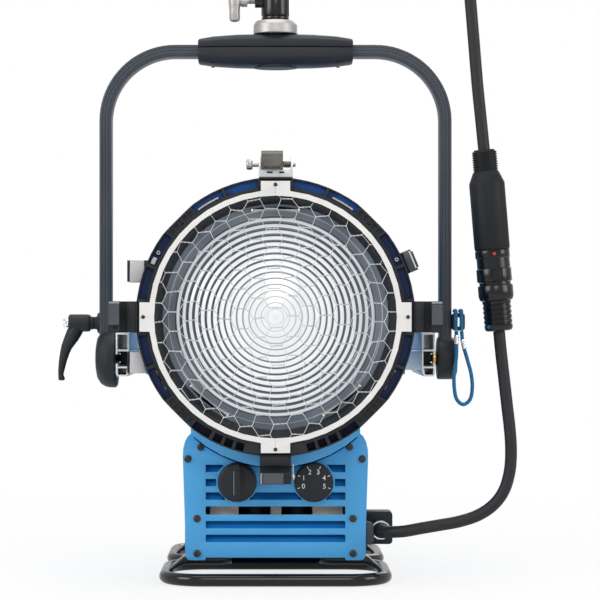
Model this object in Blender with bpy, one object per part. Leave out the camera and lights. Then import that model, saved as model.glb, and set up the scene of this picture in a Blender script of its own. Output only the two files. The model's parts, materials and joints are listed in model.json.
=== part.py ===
"""A daylight fresnel studio lamp head on skids, in its stirrup, with tail cable and connectors.

Metres, +Z up. The front (lens) faces -Y and +X is the right side seen from the front.
Every shape is drawn about the lens axis: x = 0 on the axis, y = 0 on the front of the guard
ring, z = 0 on the floor. The root empty then moves the lamp so that the middle of its box
stands at the world's origin.
"""

import math

import bmesh
import bpy
from mathutils import Matrix, Vector

# ---------------------------------------------------------------- driving dimensions
ROOT_SHIFT = (0.0226, -0.2389, 0.0)  # puts the middle of the lamp's box over the origin
LENS_Z = 0.380                       # height of the lens axis above the floor
GAP = 0.0003                         # between pieces that touch

RIM_R = 0.196                        # outside radius of the lens door
FLAT_R = 0.1942                      # the door's flats at 45 degrees
DOOR_BORE = 0.1712                   # bore of the door behind the guard
DOOR_BACK = 0.060                    # back face of the door
LENS_R = 0.1705
LENS_FRONT = 0.0365
LENS_BACK = 0.048
GUARD_IN = 0.170                     # clear radius of the guard ring
GUARD_OUT = 0.1776
WINDOW_R = (0.1826, 0.1940)          # windows in the door's flange
TAB_HALF = 0.0205                    # half width of the guard ring's tabs
TAB_R = 0.1905
CELL = 0.0275                        # wire guard, across the flats of a cell
WIRE = 0.0013

BARREL_R = 0.188                     # upper arc of the lamp house
BARREL_LOW_R = 0.1754                # lower arc, seated in the case's trough
BARREL_LOW_Z = 0.342
NECK_X = 0.1195                      # half width of the neck between the two arcs
BARREL_FRONT = 0.0663
BARREL_BACK = 0.4247
FIN = 0.006                          # depth of the cooling fins
FIN_START = 24                       # degrees above the side at which the fins begin
FIN_COUNT = 13
SKIN = 0.0028                        # wall under the fins
BOSS_X = 0.1855                      # flat bosses along the barrel's sides
BOSSES = (                           # height from, to, and where each starts inside the wall
    (0.298, 0.336, 0.1678, 0.1806),
    (0.4285, 0.4465, 0.1800, 0.1740),
)

PANEL_Y = 0.085                      # front face of the slotted panel
PANEL_T = 0.003
CASE_FRONT = PANEL_Y + PANEL_T + GAP
CASE_BACK = 0.425
CASE_HALF = 0.1305
CASE_FLOOR = 0.0335
WALL = 0.003

KNOB = (-0.055, 0.143)               # focus knob axis (x, z); the dial disc is its mirror
KNOB_R = 0.0282
LAND_R = 0.0308                      # plain land of the panel round the knob and the dial
SLOT_X = 0.1005                      # half width of the panel's slots

TUBE_R = 0.009                       # skid tube
SKID_HALF = 0.158                    # half width to the tube's middle
SKID_DEPTH = 0.204
SKID_CORNER = 0.055
SKID_Y = (0.020, 0.252)              # middle of each skid's front bar
PAD_TOP = CASE_FLOOR - GAP

RAIL_IN = 0.2115                     # slotted side rails
RAIL_OUT = 0.2310
RAIL_Y = (0.100, 0.360)
PIVOT_Y = 0.170                      # tilt axis
PIVOT_Z = 0.3193

YOKE_HALF = 0.2504                   # stirrup, to the middle of its tube
YOKE_TOP = 0.772
YOKE_CORNER = 0.103
YOKE_THICK = 0.0177
YOKE_DEEP = 0.036
YOKE_FOOT = 0.3015

GRIP_HALF = 0.1139
SEAM_Z = 0.7764

SPIGOT_R = 0.014
SOCKET_R = 0.021
SOCKET_BORE = 0.0143
SOCKET_Z = (0.8176, 0.868)
SCREW_Z = 0.8467

HINGE = (-0.2045, 0.072)             # lens door hinge axis (x, y)
HINGE_Z = (0.445, 0.315)
CATCH_ANGLE = math.radians(22.6)
LATCH_PIN = (0.030, 0.5956)          # top latch axis (y, z)

ROD_X = 0.060                        # lamp carriage on its two rods
ROD_Z = 0.215
ROD_R = 0.005
CARRIAGE = (0.200, 0.290)

CABLE_D = 0.017
CABLE_Y = 0.055                      # plane in which the cable and its connectors hang
LOOP_D = 0.0055
LOOP_Y = PIVOT_Y - 0.035             # the cord loop hangs clear of the pivot cover

# materials: base colour, roughness, metallic
FINISHES = {
    "blue_paint": ((0.045, 0.33, 0.68), 0.35, 0.1),
    "black_casting": ((0.020, 0.021, 0.024), 0.45, 0.3),
    "black_plastic": ((0.022, 0.023, 0.026), 0.55, 0.0),
    "skid_black": ((0.012, 0.012, 0.014), 0.22, 0.2),
    "yoke_grey": ((0.075, 0.083, 0.092), 0.42, 0.6),
    "guard_silver": ((0.80, 0.79, 0.76), 0.45, 0.3),
    "wire_steel": ((0.75, 0.76, 0.76), 0.3, 0.9),
    "lens_glass": ((0.86, 0.90, 0.92), 0.05, 0.0),
    "bare_aluminium": ((0.70, 0.71, 0.72), 0.35, 0.9),
    "chrome": ((0.85, 0.86, 0.87), 0.12, 1.0),
    "steel": ((0.45, 0.45, 0.46), 0.35, 1.0),
    "brass": ((0.72, 0.53, 0.22), 0.3, 1.0),
    "cable_rubber": ((0.018, 0.018, 0.019), 0.6, 0.0),
    "loop_cord": ((0.01, 0.28, 0.60), 0.7, 0.0),
    "latch_bronze": ((0.21, 0.19, 0.18), 0.45, 0.5),
    "igniter_beige": ((0.55, 0.50, 0.43), 0.6, 0.0),
    "ceramic": ((0.85, 0.83, 0.78), 0.5, 0.0),
    "quartz": ((0.92, 0.94, 0.96), 0.05, 0.0),
    "mirror": ((0.9, 0.9, 0.9), 0.08, 1.0),
}

AXES = {
    "X": Matrix(((0, 0, 1), (1, 0, 0), (0, 1, 0))),   # (u, v, t) -> (t, u, v)
    "Y": Matrix(((1, 0, 0), (0, 0, 1), (0, 1, 0))),   # (u, v, t) -> (u, t, v)
    "Z": Matrix(((1, 0, 0), (0, 1, 0), (0, 0, 1))),
}

bodies = {}


# ---------------------------------------------------------------- scene and objects
def clear_scene():
    for old in list(bpy.data.objects):
        bpy.data.objects.remove(old)


def finish(name):
    """The finish as a Principled material, made on first use."""
    if name not in bpy.data.materials:
        colour, roughness, metallic = FINISHES[name]
        made = bpy.data.materials.new(name)
        made.use_nodes = True
        made.diffuse_color = (*colour, 1)
        shader = made.node_tree.nodes["Principled BSDF"]
        shader.inputs["Base Color"].default_value = (*colour, 1)
        shader.inputs["Roughness"].default_value = roughness
        shader.inputs["Metallic"].default_value = metallic
    return bpy.data.materials[name]


def body(name, at, parent="root"):
    """An empty on a moving body's joint axis, given in the lamp's own frame."""
    empty = bpy.data.objects.new(name + "_axis", None)
    bpy.context.collection.objects.link(empty)
    at = Vector(at)
    if name == "root":
        empty.location = ROOT_SHIFT
    else:
        above, above_at = bodies[parent]
        empty.parent = above
        empty.location = at - above_at
    bodies[name] = (empty, at)


def piece(name, bm, material, on="root", smooth=40):
    """Turn a bmesh drawn in the lamp's frame into a named object that rides on a body."""
    bmesh.ops.remove_doubles(bm, verts=bm.verts, dist=1e-6)
    bmesh.ops.recalc_face_normals(bm, faces=bm.faces)
    mesh = bpy.data.meshes.new(name)
    empty, at = bodies[on]
    bmesh.ops.translate(bm, verts=bm.verts, vec=-at)
    bm.to_mesh(mesh)
    bm.free()
    mesh.shade_smooth()
    mesh.set_sharp_from_angle(angle=math.radians(smooth))
    made = bpy.data.objects.new(name, mesh)
    bpy.context.collection.objects.link(made)
    made.parent = empty
    if material:
        mesh.materials.append(finish(material))
    return made


def combine(made, bm, operation, on="root"):
    """Cut a shape out of an object, or fuse it on, with an exact Boolean."""
    number = len(made.modifiers) + 1
    tool = piece(f"{made.name}_tool_{number}", bm, None, on)
    tool.hide_render = True
    tool.display_type = "WIRE"
    modifier = made.modifiers.new(f"{operation.lower()}_{number}", "BOOLEAN")
    modifier.operation = operation
    modifier.object = tool


def cut(made, bm, on="root"):
    combine(made, bm, "DIFFERENCE", on)


def fuse(made, bm, on="root"):
    combine(made, bm, "UNION", on)


# ---------------------------------------------------------------- shapes
def arc(cu, cv, radius, start, end, steps):
    """Points on an arc in degrees, both ends included."""
    turns = [math.radians(start + (end - start) * i / steps) for i in range(steps + 1)]
    return [(cu + radius * math.cos(a), cv + radius * math.sin(a)) for a in turns]


def circle(cu, cv, radius, steps=24):
    return arc(cu, cv, radius, 0, 360, steps)[:-1]


def rounded(u0, u1, v0, v1, radius, steps=3):
    """A rectangle with round corners."""
    return (
        arc(u1 - radius, v1 - radius, radius, 0, 90, steps)
        + arc(u0 + radius, v1 - radius, radius, 90, 180, steps)
        + arc(u0 + radius, v0 + radius, radius, 180, 270, steps)
        + arc(u1 - radius, v0 + radius, radius, 270, 360, steps)
    )


def mirrored(half):
    """Close a half outline that runs up the +u side with its mirror image."""
    back = [(-u, v) for u, v in reversed(half) if abs(u) > 1e-7]
    return list(half) + back


def slab(loops, low, high, axis="Y", bm=None):
    """Extrude an outline, with any holes after it, from low to high along an axis."""
    bm = bm or bmesh.new()
    edges = []
    for loop in loops:
        verts = [bm.verts.new(AXES[axis] @ Vector((u, v, low))) for u, v in loop]
        edges += [bm.edges.new((a, b)) for a, b in zip(verts, verts[1:] + verts[:1])]
    filled = bmesh.ops.triangle_fill(bm, edges=edges, use_beauty=True)
    faces = [g for g in filled["geom"] if isinstance(g, bmesh.types.BMFace)]
    grown = bmesh.ops.extrude_face_region(bm, geom=faces, use_keep_orig=True)
    verts = [g for g in grown["geom"] if isinstance(g, bmesh.types.BMVert)]
    bmesh.ops.translate(bm, verts=verts, vec=AXES[axis] @ Vector((0, 0, high - low)))
    return bm


def block(x0, x1, y0, y1, z0, z1, bm=None):
    return slab([[(x0, z0), (x1, z0), (x1, z1), (x0, z1)]], y0, y1, "Y", bm)


def turned(profile, axis="Y", at=(0, 0), steps=32, bm=None):
    """Revolve a closed profile of (radius, along) about an axis through at."""
    bm = bm or bmesh.new()
    rings = []
    for radius, along in profile:
        if radius < 1e-7:
            ring = [bm.verts.new(AXES[axis] @ Vector((*at, along)))]
        else:
            ring = [
                bm.verts.new(AXES[axis] @ Vector((u, v, along)))
                for u, v in circle(*at, radius, steps)
            ]
        rings.append(ring)
    for one, two in zip(rings, rings[1:] + rings[:1]):
        bridge(bm, one, two)
    return bm


def bridge(bm, one, two):
    """Join two rings of vertices; a ring may be a single point."""
    count = max(len(one), len(two))
    if count == 1:
        return
    for i in range(count):
        j = (i + 1) % count
        corners = [one[i % len(one)], one[j % len(one)], two[j % len(two)], two[i % len(two)]]
        kept = [c for n, c in enumerate(corners) if c is not corners[n - 1]]
        if len(kept) > 2:
            bm.faces.new(kept)


def rod(radius, low, high, axis="Y", at=(0, 0), steps=16, bm=None):
    profile = [(0, low), (radius, low), (radius, high), (0, high)]
    return turned(profile, axis, at, steps, bm)


def lofted(rings, bm=None):
    """Skin a row of rings of 3-D points and cap both ends."""
    bm = bm or bmesh.new()
    made = [[bm.verts.new(p) for p in ring] for ring in rings]
    for one, two in zip(made, made[1:]):
        bridge(bm, one, two)
    bm.faces.new(made[0])
    bm.faces.new(list(reversed(made[-1])))
    return bm


def framed(path, closed=False):
    """A frame (side, up) at each point of a path, carried along without twist."""
    path = [Vector(p) for p in path]
    count = len(path)
    frames = []
    side = None
    for i, point in enumerate(path):
        before = path[i - 1] if i or closed else point
        after = path[(i + 1) % count] if i + 1 < count or closed else point
        along = (after - before).normalized()
        if side is None:
            side = along.orthogonal() if abs(along.y) > 0.99 else along.cross(Vector((0, 1, 0)))
        side = (side - along * side.dot(along)).normalized()
        frames.append((point, side, along.cross(side)))
    return frames


def swept(section, path, closed=False, bm=None):
    """Run a section of (side, up) points along a path, mitred at each point."""
    rings = [
        [point + side * u + up * v for u, v in section]
        for point, side, up in framed(path, closed)
    ]
    if not closed:
        return lofted(rings, bm)
    bm = bm or bmesh.new()
    made = [[bm.verts.new(p) for p in ring] for ring in rings]
    for one, two in zip(made, made[1:] + made[:1]):
        bridge(bm, one, two)
    return bm


def smooth_route(points, spacing):
    """Evenly spaced points read from a smooth curve (Catmull-Rom) through a short list."""
    route = [Vector(p) for p in points]
    ends = [route[0] * 2 - route[1]] + route + [route[-1] * 2 - route[-2]]
    fine = []
    for a, b, c, d in zip(ends, ends[1:], ends[2:], ends[3:]):
        for i in range(24):
            t = i / 24
            fine.append(
                0.5 * (2 * b + (c - a) * t + (2 * a - 5 * b + 4 * c - d) * t**2
                       + (3 * b - a - 3 * c + d) * t**3)
            )
    fine.append(route[-1])
    lengths = [0.0]
    for one, two in zip(fine, fine[1:]):
        lengths.append(lengths[-1] + (two - one).length)
    count = max(2, round(lengths[-1] / spacing))
    even = []
    index = 0
    for step in range(count + 1):
        want = lengths[-1] * step / count
        while index < len(fine) - 2 and lengths[index + 1] < want:
            index += 1
        share = (want - lengths[index]) / (lengths[index + 1] - lengths[index])
        even.append(fine[index].lerp(fine[index + 1], share))
    return even


def cord(name, points, diameter, material, on="root", resolution=2):
    """A cable as a bevelled curve with filled caps."""
    curve = bpy.data.curves.new(name, "CURVE")
    curve.dimensions = "3D"
    curve.bevel_depth = diameter / 2
    curve.bevel_resolution = resolution
    curve.use_fill_caps = True
    curve.render_resolution_u = 0
    spline = curve.splines.new("POLY")
    empty, at = bodies[on]
    route = smooth_route(points, 2.4 * diameter)
    spline.points.add(len(route) - 1)
    for target, point in zip(spline.points, route):
        target.co = (*(point - at), 1)
    curve.materials.append(finish(material))
    made = bpy.data.objects.new(name, curve)
    bpy.context.collection.objects.link(made)
    made.parent = empty
    return made


# ---------------------------------------------------------------- lens door
def door_radius(angle):
    """Outline of the door: round, flat under the four ears and on the four diagonals."""
    turn = (angle + math.pi / 4) % (math.pi / 2) - math.pi / 4
    ear = RIM_R / math.cos(turn) if abs(turn) < math.radians(6.6) else RIM_R
    diagonal = (angle % (math.pi / 2)) - math.pi / 4
    return min(ear, FLAT_R / math.cos(diagonal))


def sector(r0, r1, start, end, steps=3):
    """A window between two radii; angles run in degrees clockwise from the top."""
    outer = arc(0, LENS_Z, r1, 90 - start, 90 - end, steps)
    inner = arc(0, LENS_Z, r0, 90 - end, 90 - start, steps)
    return outer + inner


def door_ring():
    """Black casting with a row of windows in its flange, and two lift-off hinge lugs."""
    windows = [(7.8, 21.8), (23.1, 37.4), (52.6, 67.2), (68.6, 82.2), (97.8, 111.2),
               (112.6, 127.0), (142.6, 151), (152.6, 156.4), (157.8, 161.4), (162.8, 166.4)]
    outline = []
    for i in range(80):
        a = math.radians(4.5 * i)
        outline.append((door_radius(a) * math.cos(a), LENS_Z + door_radius(a) * math.sin(a)))
    loops = [outline, circle(0, LENS_Z, DOOR_BORE, 48)]
    for start, end in windows:
        steps = 2 if end - start > 5 else 1
        loops.append(sector(*WINDOW_R, start, end, steps))
        loops.append(sector(*WINDOW_R, 360 - end, 360 - start, steps))
    ring = piece("door_ring", slab(loops, 0.0042, DOOR_BACK), "black_casting", "lens_door")
    for z in HINGE_Z:
        near = min(abs(z + GAP - LENS_Z), abs(z + 0.0155 - LENS_Z))
        root = -math.sqrt(0.1927**2 - near**2)
        lug = [(-0.2105, 0.078), (-0.1985, 0.078), (-0.1985, 0.058), (root, 0.058),
               (root, 0.042), (-0.2105, 0.042)]
        fuse(ring, slab([lug], z + GAP, z + 0.0155, "Z"), "lens_door")
        cut(ring, rod(0.0033, z - 0.01, z + 0.03, "Z", HINGE, 12), "lens_door")


def hexagon_cells(radius):
    """Cells of the wire guard, shrunk by the wire and clipped to a circle."""
    side = CELL / math.sqrt(3)
    rim = circle(0, 0, radius, 40)
    cells = []
    reach = int(radius / (1.5 * side)) + 2
    for column in range(-reach, reach + 1):
        for row in range(-reach - 3, reach + 4):
            cu = 1.5 * side * column
            cv = CELL * (row + 0.5 * (column % 2))
            shrunk = side - WIRE / math.sqrt(3)
            cell = [(cu + shrunk * math.cos(math.radians(60 * k)),
                     cv + shrunk * math.sin(math.radians(60 * k))) for k in range(6)]
            for a, b in zip(rim, rim[1:] + rim[:1]):
                cell = clipped(cell, a, b)
            if len(cell) > 2 and polygon_area(cell) > 2e-5:
                cells.append([(u, v + LENS_Z) for u, v in cell])
    return cells


def clipped(polygon, a, b):
    """The part of a convex polygon to the left of the line from a to b."""
    def side(p):
        return (b[0] - a[0]) * (p[1] - a[1]) - (b[1] - a[1]) * (p[0] - a[0])

    kept = []
    for p, q in zip(polygon, polygon[1:] + polygon[:1]):
        if side(p) >= 0:
            kept.append(p)
        if side(p) * side(q) < 0:
            t = side(p) / (side(p) - side(q))
            kept.append((p[0] + (q[0] - p[0]) * t, p[1] + (q[1] - p[1]) * t))
    return kept


def polygon_area(points):
    pairs = zip(points, points[1:] + points[:1])
    return abs(sum(a[0] * b[1] - b[0] * a[1] for a, b in pairs)) / 2


def wire_guard():
    """Hexagonal mesh in one plane with its rim wire, behind the guard ring."""
    loops = [circle(0, LENS_Z, 0.1745, 40)] + hexagon_cells(0.1708)
    piece("wire_guard", slab(loops, 0.0023, 0.0036), "wire_steel", "lens_door")


def guard_ring():
    """Flat pale ring with four tabs, held by a screw in each tab."""
    outline = []
    for quarter in range(4):
        start = 90 * quarter
        half = math.degrees(math.asin(TAB_HALF / GUARD_OUT))
        tab = [(TAB_R, -TAB_HALF), (TAB_R, TAB_HALF)]
        turn = math.radians(start)
        for u, v in tab:
            outline.append((u * math.cos(turn) - v * math.sin(turn),
                            LENS_Z + u * math.sin(turn) + v * math.cos(turn)))
        outline += arc(0, LENS_Z, GUARD_OUT, start + half, start + 90 - half, 9)
    loops = [outline, circle(0, LENS_Z, GUARD_IN, 48)]
    for quarter in range(4):
        turn = math.radians(90 * quarter)
        loops.append(circle(0.1855 * math.cos(turn), LENS_Z + 0.1855 * math.sin(turn), 0.0022, 6))
    piece("guard_ring", slab(loops, 0.0, 0.002), "guard_silver", "lens_door")


def clamp_and_lens():
    """Conical clamp ring and the stepped lens behind it."""
    cone = [(LENS_R, 0.0045), (LENS_R, 0.0362), (0.1600, 0.0362), (0.1690, 0.0045)]
    piece("lens_clamp_ring", turned(cone, at=(0, LENS_Z), steps=48), "black_casting", "lens_door")
    back = [(LENS_R, LENS_BACK + GAP), (LENS_R, 0.0550), (0.1665, 0.0550),
            (0.1625, LENS_BACK + GAP)]
    piece("lens_retainer", turned(back, at=(0, LENS_Z), steps=32), "steel", "lens_door")
    rings = 8
    pitch = 0.150 / rings
    profile = [(0, LENS_BACK), (0, LENS_FRONT + 0.0005)]
    for i in range(1, rings + 1):
        profile.append((i * pitch, LENS_FRONT + 0.0040))
        profile.append((i * pitch + 0.0012, LENS_FRONT + 0.0005))
    profile += [(0.1555, LENS_FRONT), (LENS_R, LENS_FRONT), (LENS_R, LENS_BACK)]
    piece("fresnel_lens", turned(profile, at=(0, LENS_Z), steps=32), "lens_glass", "lens_door")


def ear(name, turn):
    """Accessory ear: a hooked channel on the door's rim, open towards the lens."""
    section = [(RIM_R + GAP, 0.050), (RIM_R + GAP, 0.004), (0.208, 0.004), (0.208, 0.016),
               (0.2285, 0.016), (0.2285, -0.0105), (0.2175, -0.0105), (0.2175, -0.014),
               (0.2335, -0.014), (0.2335, 0.026), (0.2115, 0.026), (0.2115, 0.050)]
    bm = slab([section], -0.022, 0.022, "Z")
    slot = block(0.2205, 0.2262, -0.030, 0.0, 0.0135, 0.0165)
    rotate = Matrix.Rotation(-turn, 4, "Y")
    bmesh.ops.transform(bm, matrix=Matrix.Translation((0, 0, LENS_Z)) @ rotate, verts=bm.verts)
    bmesh.ops.transform(slot, matrix=Matrix.Translation((0, 0, LENS_Z)) @ rotate,
                        verts=slot.verts)
    cut(piece(name, bm, "black_casting", "lens_door"), slot, "lens_door")


def top_latch():
    """Sprung latch that holds an accessory from above: bracket, tipping block and pull pin."""
    y, z = LATCH_PIN
    cheek = [(0.008, 0.5793), (0.048, 0.5793), (0.048, 0.590), (0.040, 0.606), (0.020, 0.606),
             (0.008, 0.592)]
    foot = block(-0.0235, 0.0245, 0.008, 0.048, RIM_R + LENS_Z + GAP, 0.5795)
    bracket = piece("latch_bracket", foot, "bare_aluminium", "lens_door")
    for low, high in ((-0.0235, -0.0205), (0.0215, 0.0245)):
        fuse(bracket, slab([cheek], low, high, "X"), "lens_door")
    cut(bracket, rod(0.0038, -0.04, 0.04, "X", (y, z), 12), "lens_door")

    outline = [(-0.013, 0.5795), (-0.009, 0.5785), (-0.0085, 0.586), (0.006, 0.5885),
               (0.044, 0.5885)] + arc(0.036, 0.6045, 0.0085, 0, 90, 4)
    outline += arc(-0.002, 0.602, 0.011, 90, 180, 4)
    made = piece("latch_block", slab([outline], -0.0200, 0.0105, "X"), "latch_bronze", "top_latch")
    cut(made, rod(0.0038, -0.04, 0.04, "X", (y, z), 12), "top_latch")

    pin = [(0, -0.0413), (0.0058, -0.0413), (0.0075, -0.0398), (0.0075, -0.0340),
           (0.0060, -0.0323), (0.0034, -0.0323), (0.0034, 0.0285), (0, 0.0285)]
    piece("latch_knob", turned(pin, "X", (y, z), 12), "steel", "latch_pin")


def door_catch():
    """Toggle on the right that hooks over the door's rim; it swings out from its back end."""
    section = [(RIM_R + 0.0008, 0.020), (RIM_R + 0.0035, 0.0175), (0.2115, 0.0175),
               (0.2125, 0.082), (0.2060, 0.082), (0.2040, 0.030), (RIM_R + 0.0008, 0.030)]
    bm = slab([section], -0.0155, 0.0155, "Z")
    place = Matrix.Translation((0, 0, LENS_Z)) @ Matrix.Rotation(-CATCH_ANGLE, 4, "Y")
    bmesh.ops.transform(bm, matrix=place, verts=bm.verts)
    made = piece("door_catch", bm, "steel", "door_catch")
    spring = block(0.2120, 0.2145, 0.028, 0.050, -0.012, 0.012)
    bmesh.ops.transform(spring, matrix=place, verts=spring.verts)
    fuse(made, spring, "door_catch")


# ---------------------------------------------------------------- lamp house
def barrel_outline(extra=0.0, low_extra=0.0, fins=False):
    """Round behind the door, finned over the top, with a neck down into the case's trough.

    extra moves the finned top out or in, and low_extra the neck and the arc under it; the
    plain flanks between them go with whichever leaves the thinner wall.
    """
    neck = NECK_X + low_extra
    upper = BARREL_R + extra
    flank = BARREL_R + max(extra, low_extra)
    low = -math.degrees(math.acos(neck / (BARREL_LOW_R + low_extra)))
    high = -math.degrees(math.acos(neck / flank))
    half = arc(0, BARREL_LOW_Z, BARREL_LOW_R + low_extra, -90, low, 5)
    half += arc(0, LENS_Z, flank, high, FIN_START - 1, 8)
    if fins:
        pitch = (90 + 1.5 - FIN_START) / FIN_COUNT
        for i in range(FIN_COUNT):
            start = FIN_START + 1.5 + pitch * i
            half += arc(0, LENS_Z, upper - FIN, start, start + pitch * 0.55, 1)
            half += arc(0, LENS_Z, upper, start + pitch * 0.62, start + pitch * 0.93, 1)
        half = [p for p in half if p[0] > 0.001]
        half.append((0, LENS_Z + upper - FIN))
    else:
        top = arc(0, LENS_Z, upper, FIN_START, 90, 8)
        half += top if flank > upper else top[1:]
    return mirrored(half)


def drive_slot():
    """Slot in the barrel's floor and the case's trough for the carriage's drive arm."""
    return slab([rounded(-0.068, -0.042, 0.125, 0.352, 0.005, 2)], 0.155, 0.200, "Z")


def housing():
    """Finned barrel with its front flange and louvred rear cover."""
    inner = barrel_outline(-FIN - SKIN, -SKIN)
    shell = piece("housing_shell",
                  slab([barrel_outline(fins=True), inner], BARREL_FRONT, BARREL_BACK), "blue_paint")
    cut(shell, drive_slot())
    for low, high, low_x, high_x in BOSSES:
        for side in (-1, 1):
            boss = [(side * low_x, low), (side * BOSS_X, low), (side * BOSS_X, high),
                    (side * high_x, high)]
            fuse(shell, slab([boss], BARREL_FRONT, BARREL_BACK))

    flange = slab([barrel_outline(0.008, 0.0015), circle(0, LENS_Z, 0.166, 40)], 0.0606, 0.0660)
    piece("front_flange", flange, "blue_paint")

    plain = barrel_outline()
    rings = []
    for y, shrink in ((BARREL_BACK + GAP, 1.0), (0.438, 1.0), (0.449, 0.955)):
        rings.append([(u * shrink, y, LENS_Z + (v - LENS_Z) * shrink) for u, v in plain])
    cover = piece("rear_cover", lofted(rings), "blue_paint")
    cut(cover, slab([barrel_outline(-0.012, -0.012)], 0.40, 0.4462))
    vents = bmesh.new()
    for i in range(5):
        z = 0.290 + 0.020 * i
        slab([rounded(-0.085, 0.085, z, z + 0.008, 0.0035, 1)], 0.443, 0.460, "Y", vents)
    cut(cover, vents)

    grip = [(0.075, 0.4493, 0.430), (0.075, 0.468, 0.430), (0.070, 0.478, 0.430),
            (0.060, 0.484, 0.430), (0.0, 0.485, 0.430)]
    path = grip + [(-x, y, z) for x, y, z in reversed(grip[:-1])]
    piece("rear_handle", swept(circle(0, 0, 0.007, 8), path), "black_plastic")


def lower_case():
    """Sheet case under the barrel, open at the front, louvred on both sides."""
    def outline(inset, floor):
        side = CASE_HALF - inset
        start = -47 - 800 * inset
        trough = arc(0, BARREL_LOW_Z, BARREL_LOW_R + GAP + inset, start, -90, 8)
        half = [(0, floor), (side - 0.004, floor), (side, floor + 0.004), (side, 0.1900 - inset),
                (side - 0.0025, 0.2020 - inset), (side - 0.0065, 0.2095 - inset)]
        return mirrored(half + trough)

    case = piece("lower_case", slab([outline(0, CASE_FLOOR)], CASE_FRONT, CASE_BACK),
                 "blue_paint")
    cut(case, slab([outline(WALL, CASE_FLOOR + WALL)], 0.05, CASE_BACK - WALL))
    louvres = bmesh.new()
    for i in range(4):
        z = 0.112 + 0.018 * i
        slab([rounded(0.195, 0.395, z, z + 0.007, 0.003, 1)], -0.2, 0.2, "X", louvres)
    cut(case, louvres)
    cut(case, drive_slot())


def panel_half():
    """Right half of the slotted panel, from the floor's middle up to the arc's middle."""
    corner = [(0.1335, 0.1785), (0.1330, 0.190), (0.1305, 0.2005), (0.1262, 0.2085),
              (0.1205, 0.2135)]
    foot = [(0, 0.0335), (0.1000, 0.0335), (0.1015, 0.0297), (0.1215, 0.0297)]
    foot += arc(0.1225, 0.0362, 0.0065, -80, -5, 3)
    end = corner[-1]
    angle = math.degrees(math.atan2(end[1] - BARREL_LOW_Z, end[0]))
    top = arc(0, BARREL_LOW_Z, BARREL_LOW_R + 0.0006, angle, -90, 12)
    return foot + corner + top[1:]


def front_panel():
    """Slotted front panel, with holes behind the knob and the dial."""
    loops = [mirrored(panel_half())]
    for z, half in ((0.1014, 0.0059), (0.0810, 0.0053), (0.0612, 0.0053)):
        loops.append(rounded(-SLOT_X, SLOT_X, z - half, z + half, 0.0012, 1))
    half = 0.0053
    for z in (0.1620, 0.1415, 0.1222):
        reach = [math.sqrt(LAND_R**2 - (z + v - KNOB[1]) ** 2) for v in (-half, half)]
        low, high = (KNOB[0] - r for r in reach)
        left = [(-SLOT_X, z - half), (low, z - half), (high, z + half), (-SLOT_X, z + half)]
        loops.append(left)
        loops.append([(-u, v) for u, v in left])
    low, high = (KNOB[0] + r for r in reach)
    loops.append([(low, z - half), (-low, z - half), (-high, z + half), (high, z + half)])
    loops.append(circle(*KNOB, 0.0062, 16))
    piece("front_panel", slab(loops, PANEL_Y, PANEL_Y + PANEL_T), "blue_paint")


def focus_drive():
    """Knob with its thumb bar, the spindle behind it and the plain dial disc beside it."""
    x, z = KNOB
    face = [(0, 0.0625), (0.0245, 0.0625), (0.0278, 0.0650), (KNOB_R, 0.0700),
            (KNOB_R, PANEL_Y - GAP), (0, PANEL_Y - GAP)]
    knob = piece("focus_knob", turned(face, "Y", KNOB, 24), "black_plastic", "focus_knob")
    bar = [(-0.0035, -0.0262), (0.0035, -0.0262), (0.0052, -0.018), (0.0052, 0.018),
           (0.0035, 0.0262), (-0.0035, 0.0262), (-0.0052, 0.018), (-0.0052, -0.018)]
    fuse(knob, slab([[(x + u, z + v) for u, v in bar]], 0.0540, 0.0640), "focus_knob")
    piece("focus_spindle", rod(0.0055, PANEL_Y, 0.4150, at=KNOB, steps=12), "steel",
          "focus_knob")

    disc = [(0, 0.0660), (0.0262, 0.0660), (KNOB_R, 0.0675), (KNOB_R, PANEL_Y - GAP),
            (0, PANEL_Y - GAP)]
    piece("dial_disc", turned(disc, "Y", (-x, z), 24), "black_plastic")


def innards():
    """What shows through the slots: the igniter and two capacitors on the case's floor."""
    floor = CASE_FLOOR + WALL + GAP
    piece("igniter_block", block(-0.112, 0.112, 0.200, 0.300, floor, 0.112), "igniter_beige")
    piece("left_capacitor", rod(0.0205, floor, 0.116, "Z", (-0.0295, 0.150), 20), "black_plastic")
    piece("right_capacitor", rod(0.0205, floor, 0.116, "Z", (0.031, 0.150), 20), "black_plastic")


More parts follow.
